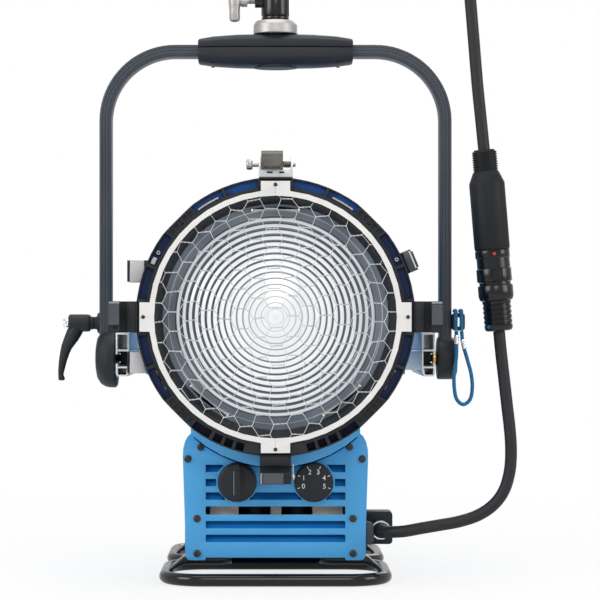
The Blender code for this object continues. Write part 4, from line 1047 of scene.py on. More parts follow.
@dataclass
class Cables:
    """The supply cable, its coupler, the cable above it and the cord loop."""

    diameter: float = 0.017
    loop_diameter: float = 0.0055
    tail_points: Sequence[Point] = (
        (0.1525, 0.1095, 0.0705), (0.1530, 0.0960, 0.0706), (0.1570, 0.0800, 0.0712),
        (0.1680, 0.0650, 0.0725), (0.1850, 0.0570, 0.0745), (0.2060, CABLE_Y, 0.0785),
        (0.2320, CABLE_Y, 0.0830), (0.2620, CABLE_Y, 0.0885), (0.2890, CABLE_Y, 0.0975),
        (0.3105, CABLE_Y, 0.1120), (0.3255, CABLE_Y, 0.1320), (0.3335, CABLE_Y, 0.1580),
        (0.3358, CABLE_Y, 0.1850), (0.3345, CABLE_Y, 0.2150), (0.3300, CABLE_Y, 0.2550),
        (0.3255, CABLE_Y, 0.2950), (0.3215, CABLE_Y, 0.3300), (0.31862, CABLE_Y, 0.3597),
    )
    rise_points: Sequence[Point] = (
        (0.29728, CABLE_Y, 0.6184), (0.2935, CABLE_Y, 0.6560), (0.2880, CABLE_Y, 0.7100),
        (0.2830, CABLE_Y, 0.7700), (0.2780, CABLE_Y, 0.8300), (0.2745, CABLE_Y, 0.8700),
    )
    loop_steps: Sequence[tuple[float, float]] = (
        (-0.0033, 0.3595), (-0.0030, 0.3400), (-0.0035, 0.3200), (-0.0065, 0.2980),
        (-0.0065, 0.2780), (-0.0030, 0.2600), (0.0070, 0.2520), (0.0170, 0.2600),
        (0.0200, 0.2780), (0.0180, 0.2980), (0.0120, 0.3200), (0.0065, 0.3400),
        (0.0042, 0.3595),
    )
    ferrules: Sequence[Point] = (
        (0.2647, 0.3532, 0.2649, 0.3405), (0.2735, 0.3470, 0.2767, 0.3338),
    )
    loop_x: float = 0.26795
    loop_y: float = PIVOT_Y - 0.035

    def build(self, lower: Sequence[Piece], upper: Sequence[Piece]) -> None:
        """Args:
            lower: Connector pieces at the end of the lamp's own cable.
            upper: Connector pieces at the start of the extension.
        """
        lower = [*lower, self.boot()]
        upper = [*upper, softened("cable_grip", 0.0004)]
        self.cable("tail_cable", self.tail_points)
        self.cable("extension_cable", self.rise_points)
        self.loop()

    def boot(self) -> Piece:
        """Ribbed rubber sleeve that tapers along the cable from the gland."""
        path = smooth_route(self.tail_points, 0.0015)[:22]
        radii = []
        for step in range(len(path)):
            share = step / (len(path) - 1)
            radii.append(1.36 - 0.28 * share - (0.07 if step % 3 == 0 and step else 0.0))
        made = piped("tail_boot", [path], self.diameter / 2, 10, radii=radii)
        return carry(made, "tail_boot", "lamp_house", CABLE_RUBBER)

    def cable(self, node: str, points: Sequence[Point]) -> None:
        """One length of the rubber cable."""
        path = smooth_route(points, 0.006)
        made = tube_along(node + "_sheath", path, self.diameter / 2, 28)
        stand_in(made, node + "_sheath", CABLE_RUBBER, node)

    def loop(self) -> None:
        """The braided loop that hangs from the hook."""
        points = [(self.loop_x + dx, self.loop_y, z) for dx, z in self.loop_steps]
        path = smooth_route(points, 0.0025)
        made = tube_along("loop_cord_braid", path, self.loop_diameter / 2, 16)
        stand_in(made, "loop_cord_braid", LOOP_BLUE, "loop_cord")
        bights = []
        for x in (0.2630, 0.2712):
            over = ((0.1262, 0.3600), (0.1258, 0.3700), (0.1258, 0.3830), (0.1266, 0.3868),
                    (0.1290, 0.3890), (0.1330, 0.3893), (0.1400, 0.3890), (0.1500, 0.3889))
            bights.append(piped("bight", [[at(x, y, z) for y, z in over]], 0.0029, 5))
        carry(joined(bights), "loop_bights", "yoke", LOOP_BLUE)
        ferrules = []
        for x0, z0, x1, z1 in self.ferrules:
            start, end = at(x0, self.loop_y, z0), at(x1, self.loop_y, z1)
            stations = [start.lerp(end, i / 12) for i in range(13)]
            radii = [1.0 if i % 4 else 0.9 for i in range(13)]
            ferrules.append(piped("ferrule", [stations], 0.0036, 6, radii=radii))
        ferrules = carry(joined(ferrules), "loop_ferrules", "yoke", CHROME)


# ---------------------------------------------------------------- shared small parts
def set_at(place: Vector, turn: Matrix) -> Matrix:
    """Turns a piece about the drawing frame's origin and takes it to a place."""
    return Matrix.Translation(place) @ turn @ Matrix.Translation(-ORIGIN)


def repeated(model: Piece, places: Iterable[Vector]) -> Piece:
    """Copies of a model at several places, joined as one piece; the model is deleted."""
    made = joined([copied(model, Matrix.Translation(place - ORIGIN)) for place in places])
    bpy.data.objects.remove(model)
    return made


def about_lens(degrees: float) -> Matrix:
    """A turn about the lens axis, in degrees clockwise from the top."""
    home = at(0.0, 0.0, LENS_Z)
    turn = Matrix.Rotation(math.radians(degrees), 4, "Y")
    return Matrix.Translation(home) @ turn @ Matrix.Translation(-home)


def on_lens(degrees: float, radius: float, y: float) -> Vector:
    """A place at an angle clockwise from the top of the lens."""
    a = math.radians(degrees)
    return at(radius * math.sin(a), y, LENS_Z + radius * math.cos(a))


def ring_sector(name: str, radii: tuple[float, float], angles: tuple[float, float],
                y: tuple[float, float], steps: int = 6) -> Piece:
    """A solid between two radii and two angles about the lens axis.

    Args:
        name: The new object's name.
        radii: Inner and outer radius.
        angles: Start and end, in degrees clockwise from the top.
        y: Front and back.
        steps: Facets along each arc.

    Returns:
        The solid.
    """
    start, end = angles
    turns = [start + (end - start) * i / steps for i in range(steps + 1)]
    outline = [on_lens(a, radii[1], y[0]) for a in turns]
    outline += [on_lens(a, radii[0], y[0]) for a in reversed(turns)]
    return plate(name, outline, Vector((0.0, y[1] - y[0], 0.0)))


def socket_head(radius: float, height: float) -> Piece:
    """A domed screw head with a six-sided hole, about the drawing frame's origin, facing -Y."""
    r, h = radius, height
    profile = [(0.0, 0.0), (r, 0.0), (r, -0.40 * h), (0.93 * r, -0.70 * h), (0.74 * r, -0.94 * h),
               (0.60 * r, -h), (0.0, -h)]
    head = spun("screw_head", profile, Axis.Y, at(0.0, 0.0, 0.0), 20)
    drop_selection()
    bpy.ops.mesh.primitive_cylinder_add(vertices=6, radius=0.46 * r, depth=1.5 * h,
                                        location=at(0.0, -h, 0.0), rotation=(math.pi / 2, 0.0, 0.0))
    hole = bpy.context.object
    settle(hole)
    cut_with(head, [hole])
    return smoothed(head, 30)


def coiled(name: str, start: Vector, along: Vector, turns: float, radius: float, wire: float
           ) -> Piece:
    """A coil spring from a start along a vector."""
    side = along.orthogonal().normalized()
    up = along.normalized().cross(side)
    count = int(turns * 14)
    path = []
    for i in range(count + 1):
        a = math.tau * turns * i / count
        path.append(start + along * (i / count) + (side * math.cos(a) + up * math.sin(a)) * radius)
    return piped(name, [path], wire, 2)


def knurled(piece: Piece, test: Test, depth: float) -> None:
    """Presses every second picked face inwards, as a knurl or a flute."""
    count = [0]

    def every_second(centre: Vector, normal: Vector) -> bool:
        if not test(centre, normal):
            return False
        count[0] += 1
        return count[0] % 2 == 0

    edit(piece)
    pick_faces(piece, every_second)
    bpy.ops.mesh.inset(thickness=depth * 0.35, depth=-depth, use_individual=True)
    drop_selection()


# ---------------------------------------------------------------- lens door
@dataclass
class SteppedLens:
    """The lens with one turned zone for each ring seen, and the springs that hold its edge."""

    zones: int = 16
    front: float = 0.0370
    back: float = 0.0480
    edge: float = 0.1705
    clip_radii: tuple[float, float] = (0.1528, 0.1562)
    clip_angles: Sequence[float] = (0.0, 141.5, 218.5)
    clip_half: float = 13.0

    def build(self) -> None:
        """Makes the glass and its clips."""
        self.glass()
        self.clips()

    def glass(self) -> None:
        """Each zone falls back towards its outer edge, and a riser brings it forward again."""
        face = [(0.0, self.front + 0.0006)]
        inner = 0.0
        for ring in range(self.zones):
            outer = FIRST_ZONE + ring * ZONE_PITCH
            deep = min(0.0032, 0.0008 + 0.00022 * ring)
            face.append((inner + 0.5 * (outer - inner), self.front + 0.38 * deep))
            face.append((outer - 0.0005, self.front + deep))
            face.append((outer, self.front))
            inner = outer
        face += [(self.edge - 0.022, self.front), (self.edge - 0.021, self.front - 0.0005),
                 (self.edge, self.front - 0.0005), (self.edge, self.back), (0.0, self.back)]
        made = spun("stepped_lens", face, Axis.Y, at(0.0, 0.0, LENS_Z), 112, angle=18.0)
        stand_in(made, "stepped_lens", LENS_GLASS, "fresnel_lens")

    def clips(self) -> None:
        """Three spring strips at the edge of the glass, each under two screws."""
        strips = []
        for middle in self.clip_angles:
            angles = (middle - self.clip_half, middle + self.clip_half)
            strips.append(ring_sector("clip", self.clip_radii, angles, (0.0340, 0.0348), 10))
        strips = bevelled(joined(strips), 0.0003, 1)
        carry(strips, "lens_clips", "lens_door", STEEL)
        head = spun("clip_screw", [(0.0, 0.0), (0.0024, 0.0), (0.0024, -0.0010), (0.0016, -0.0019),
                                   (0.0, -0.0021)], Axis.Y, at(0.0, 0.0, 0.0), 18)
        places = [on_lens(middle + side * (self.clip_half - 0.6), 0.1546, 0.0339)
                  for middle in self.clip_angles for side in (-1, 1)]
        carry(repeated(head, places), "lens_clip_screws", "lens_door", CHROME)


@dataclass
class WireGuard:
    """Hexagonal netting: straight single wires, and twisted pairs where two wires run together."""

    cell: float = 0.0275
    reach: float = 0.1722
    depth: float = 0.00295
    wire: float = 0.00050
    lean: float = 2.5
    slack: float = 0.0015
    twists: float = 1.5

    def build(self) -> None:
        """Makes the netting and the rim wire that it is tied to."""
        chance = random.Random(11)
        knots, edges = self.net(chance)
        strands = []
        for one, two in sorted(edges):
            ends = self.inside(knots[one], knots[two])
            if ends:
                level = abs(one[1] - two[1]) < 5
                strands += self.pair(*ends) if level else [self.single(*ends, chance)]
        rim = [on_lens(360 * i / 120, 0.1737, self.depth) for i in range(121)]
        strands.append(rim)
        made = piped("guard_netting", strands, self.wire, 1, weld=0.0, angle=60.0)
        stand_in(made, "guard_netting", WIRE_STEEL, "wire_guard")

    def net(self, chance: random.Random
            ) -> tuple[dict[tuple[int, int], tuple[float, float]], set[tuple]]:
        """The netting's corners, each a little out of place, and the edges between them.

        Args:
            chance: The seeded source of unevenness.

        Returns:
            Corner places by key, and pairs of keys.
        """
        side = self.cell / math.sqrt(3)
        span = int(0.175 / (1.5 * side)) + 2
        knots: dict[tuple[int, int], tuple[float, float]] = {}
        edges: set[tuple] = set()
        for column in range(-span, span + 1):
            for row in range(-span - 3, span + 4):
                u = 1.5 * side * column
                v = self.cell * (row + 0.5 * (column % 2))
                corners = []
                for k in range(6):
                    a = math.radians(60 * k)
                    x, z = u + side * math.cos(a), v + side * math.sin(a)
                    corners.append((round(x * 1e5), round(z * 1e5)))
                for a, b in zip(corners, corners[1:] + corners[:1]):
                    a, b = self.known(a, knots, chance), self.known(b, knots, chance)
                    edges.add((min(a, b), max(a, b)))
        return knots, edges

    def known(self, key: tuple[int, int], knots: dict, chance: random.Random) -> tuple[int, int]:
        """The key of a corner that is already there, or this one after it is added."""
        for du in (-1, 0, 1):
            for dv in (-1, 0, 1):
                if (key[0] + du, key[1] + dv) in knots:
                    return key[0] + du, key[1] + dv
        turn = math.radians(self.lean)
        x = key[0] / 1e5 + chance.uniform(-self.slack, self.slack)
        z = key[1] / 1e5 + chance.uniform(-self.slack, self.slack)
        cos, sin = math.cos(turn), math.sin(turn)
        knots[key] = (x * cos - z * sin, x * sin + z * cos)
        return key

    def inside(self, one: tuple[float, float], two: tuple[float, float]
               ) -> tuple[Vector, Vector] | None:
        """The part of an edge inside the rim wire, as two places, or None."""
        if math.hypot(*one) > math.hypot(*two):
            one, two = two, one
        if math.hypot(*one) > self.reach:
            return None
        share = 1.0
        while share > 0.05:
            end = (one[0] + (two[0] - one[0]) * share, one[1] + (two[1] - one[1]) * share)
            if math.hypot(*end) <= self.reach:
                break
            share -= 0.05
        return (at(one[0], self.depth, LENS_Z + one[1]), at(end[0], self.depth, LENS_Z + end[1]))

    def single(self, one: Vector, two: Vector, chance: random.Random) -> list[Vector]:
        """A single wire with a slight bow."""
        across = (two - one).cross(Vector((0, 1, 0))) * chance.uniform(-0.035, 0.035)
        return [one, one.lerp(two, 0.3) + across, one.lerp(two, 0.7) + across, two]

    def pair(self, one: Vector, two: Vector) -> list[list[Vector]]:
        """Two wires wound round each other."""
        along = (two - one).normalized()
        side = along.cross(Vector((0, 1, 0)))
        up = Vector((0, 1, 0))
        strands = []
        for start in (0.0, math.pi):
            strand = []
            for i in range(9):
                a = start + math.tau * self.twists * i / 8
                off = (side * math.cos(a) * 1.5 + up * math.sin(a)) * self.wire * 0.85
                strand.append(one.lerp(two, i / 8) + off)
            strands.append(strand)
        return strands


@dataclass
class LensDoor:
    """The black door casting and the pale guard ring, with their pockets, frames and screws."""

    window: tuple[float, float] = (0.1826, 0.1940)
    pockets: Sequence[tuple[float, float]] = (
        (38.5, 40.8), (41.4, 43.7), (44.3, 45.9), (46.5, 48.8), (49.4, 51.7),
        (128.3, 130.7), (131.3, 133.7), (134.3, 136.0), (136.6, 139.0), (139.6, 141.8),
    )
    windows: Sequence[tuple[float, float]] = (
        (7.8, 21.8), (23.1, 37.4), (52.6, 67.2), (68.6, 82.2), (97.8, 111.2), (112.6, 127.0),
        (142.6, 151.0), (152.6, 156.4), (157.8, 161.4), (162.8, 166.4),
    )
    grooved: Sequence[tuple[float, float]] = ((54.0, 82.0), (98.0, 127.0))
    face: float = 0.0042
    screw_radius: float = 0.1855

    def build(self) -> None:
        """Makes the casting, then what is fixed to it."""
        self.casting()
        self.tab_frames()
        self.grooves()
        self.liners()
        self.strips()
        self.guard()
        self.hinge_plates()

    def both_sides(self, spans: Iterable[tuple[float, float]]) -> list[tuple[float, float]]:
        """Each span and its mirror image."""
        return [pair for a, b in spans for pair in ((a, b), (360 - b, 360 - a))]

    def casting(self) -> None:
        """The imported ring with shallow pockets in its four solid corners."""
        ring = merged("door_ring")
        cutters = [ring_sector("pocket", (0.1832, 0.1916), span, (self.face - 0.002,
                                                                  self.face + 0.0035), 2)
                   for span in self.both_sides(self.pockets)]
        cut_with(ring, [joined(cutters)])
        bevelled(ring, 0.0005, 2)
        stand_in(ring, "door_casting", BLACK_CASTING, "door_ring")
        boss = spun("boss", [(0.0, 0.0), (0.0026, 0.0), (0.0026, -0.0030), (0.0013, -0.0034),
                             (0.0011, -0.0016), (0.0, -0.0016)], Axis.Y, at(0, 0, 0), 14)
        places = [on_lens((a + b) / 2, 0.1874, self.face + 0.0034)
                  for a, b in self.both_sides([self.pockets[2], self.pockets[7]])]
        carry(repeated(boss, places), "pocket_bosses", "lens_door", BLACK_CASTING)

    def tab_frames(self) -> None:
        """A raised edge round three sides of each tab of the guard."""
        half, wall, top, low = 0.0212, 0.0026, 0.1936, 0.1800
        outline = [(-half - wall, low), (-half - wall, top), (half + wall, top),
                   (half + wall, low), (half, low), (half, top - wall + 0.0002),
                   (-half, top - wall + 0.0002), (-half, low)]
        points = [at(u, 0.0014, LENS_Z + v) for u, v in outline]
        frame_piece = bevelled(plate("tab_frame", points, Vector((0, 0.0030, 0))), 0.0005, 2)
        frames = [frame_piece] + [copied(frame_piece, about_lens(a)) for a in QUARTERS[1:]]
        carry(joined(frames), "tab_frames", "lens_door", BLACK_CASTING)

    def grooves(self) -> None:
        """Fine slanting ridges on the band between the windows and the guard."""
        low, high = 0.1788, 0.1822
        outline = [(-0.0007, low), (-0.0003, low), (0.0009, high), (0.0005, high)]
        points = [at(u, self.face - 0.0005, LENS_Z + v) for u, v in outline]
        ridge = plate("ridge", points, Vector((0, 0.0009, 0)))
        ridges = []
        for a, b in self.both_sides(self.grooved):
            count = int((b - a) / 0.62)
            ridges += [copied(ridge, about_lens(a + (b - a) * i / count)) for i in range(count + 1)]
        bpy.data.objects.remove(ridge)
        carry(joined(ridges), "band_ridges", "lens_door", BLACK_CASTING)

    def liners(self) -> None:
        """Blue faces seen a little way down each window, coloured in painted shade, a deeper navy
        in the side and lower windows.
        """
        r0, r1 = self.window
        rows = (("window_liners", self.windows[:2], 0.0120, SHADED_BLUE),
                ("side_liners", self.windows[2:6], 0.0140, SHADED_NAVY),
                ("low_liners", self.windows[6:], 0.0300, SHADED_NAVY))
        for name, spans, y, finish in rows:
            liners = [ring_sector("liner", (r0 + 0.0004, r1 - 0.0004), (a + 0.15, b - 0.15),
                                  (y, y + 0.0012), 4) for a, b in self.both_sides(spans)]
            carry(joined(liners), name, "lens_door", finish)

    def strips(self) -> None:
        """Pale strips and small fittings inside the windows."""
        strips = [ring_sector("strip", (0.1846, 0.1868), span, (0.0085, 0.0140), 8)
                  for span in self.both_sides([(25.6, 35.8)])]
        strips += [ring_sector("strip", (0.1838, 0.1846), span, (0.0085, 0.0140), 8)
                   for span in self.both_sides([(113.8, 123.5)])]
        carry(bevelled(joined(strips), 0.0003, 1), "window_strips", "lens_door", IGNITER_BEIGE)
        ring = spun("eye", [(0.0012, 0.0), (0.0030, 0.0), (0.0030, 0.0030), (0.0012, 0.0030)],
                    Axis.Y, at(0, 0, 0), 20, closed=True)
        eyes = repeated(ring, [on_lens(-61.2, 0.1878, 0.0090), on_lens(64.6, 0.1884, 0.0090)])
        tags = [ring_sector("tag", (0.1850, 0.1915), (293.2, 296.4), (0.0090, 0.0120), 2)]
        carry(bevelled(joined([eyes] + tags), 0.0003, 1), "window_fittings", "lens_door", STEEL)

    def guard(self) -> None:
        """The pale ring with a screw and a fine joint line in each tab."""
        ring = merged("guard_ring")
        lines = []
        for turn in QUARTERS:
            points = [at(u, -0.0005, LENS_Z + v) for u, v in
                      ((-0.0004, 0.1690), (0.0004, 0.1690), (0.0004, 0.1835),
                       (-0.0004, 0.1835))]
            line = plate("line", points, Vector((0, 0.0011, 0)))
            lines.append(placed(line, about_lens(turn)))
        cut_with(ring, [joined(lines)])
        bevelled(ring, 0.00025, 1)
        stand_in(ring, "pale_guard_ring", GUARD_SILVER, "guard_ring")
        head = socket_head(0.0028, 0.0013)
        places = [on_lens(a, self.screw_radius, 0.0001) for a in QUARTERS]
        carry(repeated(head, places), "guard_screws", "lens_door", DARK_STEEL)

    def hinge_plates(self) -> None:
        """Pale cover plates on the door's two hinge lugs, dark along the outer edge."""
        pale, dark = [], []
        for z in (0.445, 0.315):
            pale.append(slabbed("hinge_plate", (-0.2066, 0.0404, z - 0.0150),
                                (-0.1862, 0.0417, z + 0.0155), 0.0005))
            dark.append(slabbed("hinge_edge", (-0.2105, 0.0404, z - 0.0150),
                                (-0.2068, 0.0417, z + 0.0155), 0.0005))
        carry(joined(pale), "hinge_plates", "lens_door", HINGE_GREY)
        carry(joined(dark), "hinge_edges", "lens_door", BLACK_CASTING)


# ---------------------------------------------------------------- panel, skids, stirrup
def lettering(text: str, place: Vector, size: float) -> Piece:
    """Raised lettering that faces -Y, made a mesh."""
    drop_selection()
    bpy.ops.object.text_add(location=place, rotation=(math.pi / 2, 0.0, 0.0))
    made = bpy.context.object
    made.data.body = text
    made.data.size = size
    made.data.align_x = "CENTER"
    made.data.align_y = "CENTER"
    made.data.extrude = 0.00012
    bpy.ops.object.convert(target="MESH")
    made = bpy.context.object
    settle(made)
    return made


@dataclass
class Panel:
    """What is fixed to the slotted front panel, and the blades behind its slots."""

    face: float = 0.0850
    screws: Sequence[tuple[float, float]] = (
        (-0.1078, 0.1928), (-0.1263, 0.1756), (-0.1130, 0.0898), (-0.1130, 0.0397),
        (0.1067, 0.1928), (0.1250, 0.1756), (0.1116, 0.0898), (0.1116, 0.0397),
    )
    long_rows: Sequence[float] = (0.0810, 0.0612)
    short_rows: Sequence[float] = (0.1620, 0.1415, 0.1222)
    dial: tuple[float, float] = (0.055, 0.143)

    def build(self) -> None:
        """Makes the panel's small parts."""
        head = socket_head(0.0054, 0.0030)
        places = [at(x, self.face + 0.0001, z) for x, z in self.screws]
        carry(repeated(head, places), "panel_screws", "lamp_house", DARK_STEEL)
        self.louvres()
        # A painted shadow line: a dark blue arc strip along the gap under the flange's lower edge.
        shadow_arc = arc((0.0, 0.342), 0.1801, -131.0, -49.0, 40)
        shadow_arc += list(reversed(arc((0.0, 0.342), 0.1786, -131.0, -49.0, 40)))
        line = plate("shadow_arc", [at(u, 0.0846, v) for u, v in shadow_arc], Vector((0, 0.0006, 0)))
        carry(line, "panel_shadow_line", "lamp_house", SHADED_BLUE)
        self.markings()

    def louvres(self) -> None:
        """Slanting blades that hide the inside of the case, their darker blue a painted shade."""
        spans = [(z, -0.1015, 0.1015) for z in self.long_rows]
        for z in self.short_rows:
            spans += [(z, -0.1015, -0.0770), (z, 0.0770, 0.1015)]
        spans.append((self.short_rows[-1], -0.0345, 0.0345))
        blades = []
        for z, low, high in spans:
            section = ((0.0887, -0.0064), (0.0899, -0.0067), (0.1008, 0.0060), (0.0996, 0.0066))
            outline = [at(low, y, z + v) for y, v in section]
            blades.append(plate("blade", outline, Vector((high - low, 0, 0))))
        carry(joined(blades), "louvre_blades", "lamp_house", SHADED_LOUVRE_AND_MARK_BLUE)

    def markings(self) -> None:
        """Plain numbers and ticks round the dial, and a painted highlight strip along the edge of
        the knob's bar.
        """
        x, z = self.dial
        marks = []
        for number in range(6):
            a = math.radians(-110 + 44 * number)
            u, v = math.sin(a), math.cos(a)
            marks.append(lettering(str(number), at(x + 0.0160 * u, 0.0659, z + 0.0160 * v), 0.0100))
            tick = slabbed("tick", (-0.0005, 0.0658, 0.0215), (0.0005, 0.0662, 0.0250), 0.0001, 1)
            marks.append(placed(tick, set_at(at(x, 0.0, z), Matrix.Rotation(a, 4, "Y"))))
        carry(joined(marks), "dial_numbers", "lamp_house", PALE_MARK)
        # A painted highlight: a pale strip along the left edge of the knob's bar.
        line = slabbed("line", (-x - 0.0047, 0.0538, z - 0.017), (-x - 0.0040, 0.0543, z + 0.017),
                       0.0001, 1)
        carry(line, "knob_edge_highlight", "focus_knob", PAINTED_HIGHLIGHT)


@dataclass
class Skids:
    """Two closed loops of enamelled tube, each with two welded saddles and their feet."""

    radius: float = 0.009
    half: float = 0.158
    depth: float = 0.204
    corner: float = 0.055
    top: float = 0.0332
    fronts: Sequence[tuple[str, float]] = (("front_skid", 0.020), ("rear_skid", 0.252))

    def build(self) -> None:
        """Makes both loops."""
        for node, front in self.fronts:
            pieces = [self.loop(front), self.weld(front)]
            for side in (-1, 1):
                pieces += self.saddle(side, front + self.depth / 2)
            stand_in(joined(pieces), node + "_welded", SKID_BLACK, node)

    def loop(self, front: float) -> Piece:
        """The bent tube."""
        u, back, r = self.half - self.corner, front + self.depth - self.corner, self.corner
        flat = arc((u, back), r, 0, 90, 14) + arc((-u, back), r, 90, 180, 14)
        flat += arc((-u, front + r), r, 180, 270, 14) + arc((u, front + r), r, 270, 360, 14)
        return piped("loop", [[at(x, y, self.radius) for x, y in flat]], self.radius, 8, True)

    def weld(self, front: float) -> Piece:
        """The butt weld in the middle of the front bar."""
        ring = [(0.0086, -0.0008), (0.00925, -0.0004), (0.00925, 0.0004), (0.0086, 0.0008)]
        return spun("weld", ring, Axis.X, at(0, front, self.radius + 0.0003), 32, closed=True)

    def saddle(self, side: int, middle: float) -> list[Piece]:
        """A saddle plate with a round inner end, and the block that it stands on."""
        outline = arc((0.083, middle), 0.020, 90, 270, 16)
        outline += [(0.1320, middle - 0.020), (0.1320, middle + 0.020)]
        flat = plate("saddle", [at(side * u, v, 0.0215) for u, v in outline],
                     Vector((0, 0, self.top - 0.0215)))
        slope = ((0.1290, 0.0215), (0.1290, self.top), (0.1340, self.top - 0.0008),
                 (0.1400, self.top - 0.0060), (0.1500, 0.0190), (0.1560, 0.0110))
        foot = plate("foot", [at(side * u, middle - 0.018, v) for u, v in slope],
                     Vector((0, 0.036, 0)))
        return [bevelled(flat, 0.0026, 4, 30), bevelled(foot, 0.0022, 3, 20)]


@dataclass
class Stirrup:
    """The bent extrusion and what is fixed to it."""

    half: float = 0.2504
    top: float = 0.772
    corner: float = 0.103
    thick: float = 0.00885
    deep: float = 0.018
    foot: float = 0.3015

    def build(self) -> None:
        """Makes the stirrup's visible parts."""
        self.tube()
        for node in ("grip_upper", "grip_lower"):
            softened(node, 0.0018, 3, angle=20)
        boss = [(0.032 * math.cos(a), 0.024 * math.sin(a))
                for a in (math.tau * i / 48 for i in range(48))]
        boss = plate("boss", [at(u, PIVOT_Y + v, 0.7474) for u, v in boss],
                     Vector((0, 0, 0.0060)))
        carry(bevelled(boss, 0.0012, 3), "grip_boss", "yoke", BLACK_PLASTIC)
        down = set_at(ORIGIN, Matrix.Rotation(math.pi / 2, 4, "X"))
        head = placed(socket_head(0.0028, 0.0012), down)
        places = [at(x, PIVOT_Y + y, 0.7524) for x in (-0.093, 0.093) for y in (-0.0205, 0.0205)]
        carry(repeated(head, places), "grip_screws", "yoke", DARK_STEEL)

    def section(self) -> list[tuple[float, float]]:
        """Half of the extrusion's outline: round corners, and two grooves along the face."""
        t, d = self.thick, self.deep
        half = [(-t, -d + 0.0026), (-t + 0.0008, -d + 0.0008), (-t + 0.0026, -d)]
        for u in (-0.0046, 0.0, 0.0046):
            half += [(u - 0.0006, -d), (u - 0.0003, -d + 0.0006), (u + 0.0003, -d + 0.0006),
                     (u + 0.0006, -d)]
        half += [(t - 0.0026, -d), (t - 0.0008, -d + 0.0008), (t, -d + 0.0026)]
        return half + [(-u, -v) for u, v in half]

    def tube(self) -> None:
        """Pulls the section up a leg, round a corner, across, round and down."""
        base = at(-self.half, PIVOT_Y, self.foot)
        points = [base + Vector((u, v, 0)) for u, v in self.section()]
        made = polyline("stirrup_tube", points, True)
        bpy.ops.mesh.edge_face_add()
        rise = Vector((0, 0, self.top - self.corner - self.foot))
        bpy.ops.mesh.extrude_region_move(TRANSFORM_OT_translate={"value": rise})
        self.bend(-1)
        across = Vector((2 * (self.half - self.corner), 0, 0))
        bpy.ops.mesh.extrude_region_move(TRANSFORM_OT_translate={"value": across})
        self.bend(1)
        bpy.ops.mesh.extrude_region_move(TRANSFORM_OT_translate={"value": -rise})
        outwards(made, 0.0)
        smoothed(made, 25)
        stand_in(made, "stirrup_tube", YOKE_GREY, "yoke_tube")

    def bend(self, side: int) -> None:
        """Spins the open end round one of the top corners."""
        centre = at(side * (self.half - self.corner), PIVOT_Y, self.top - self.corner)
        bpy.ops.mesh.spin(steps=20, angle=math.pi / 2, center=centre, axis=(0, -1, 0))


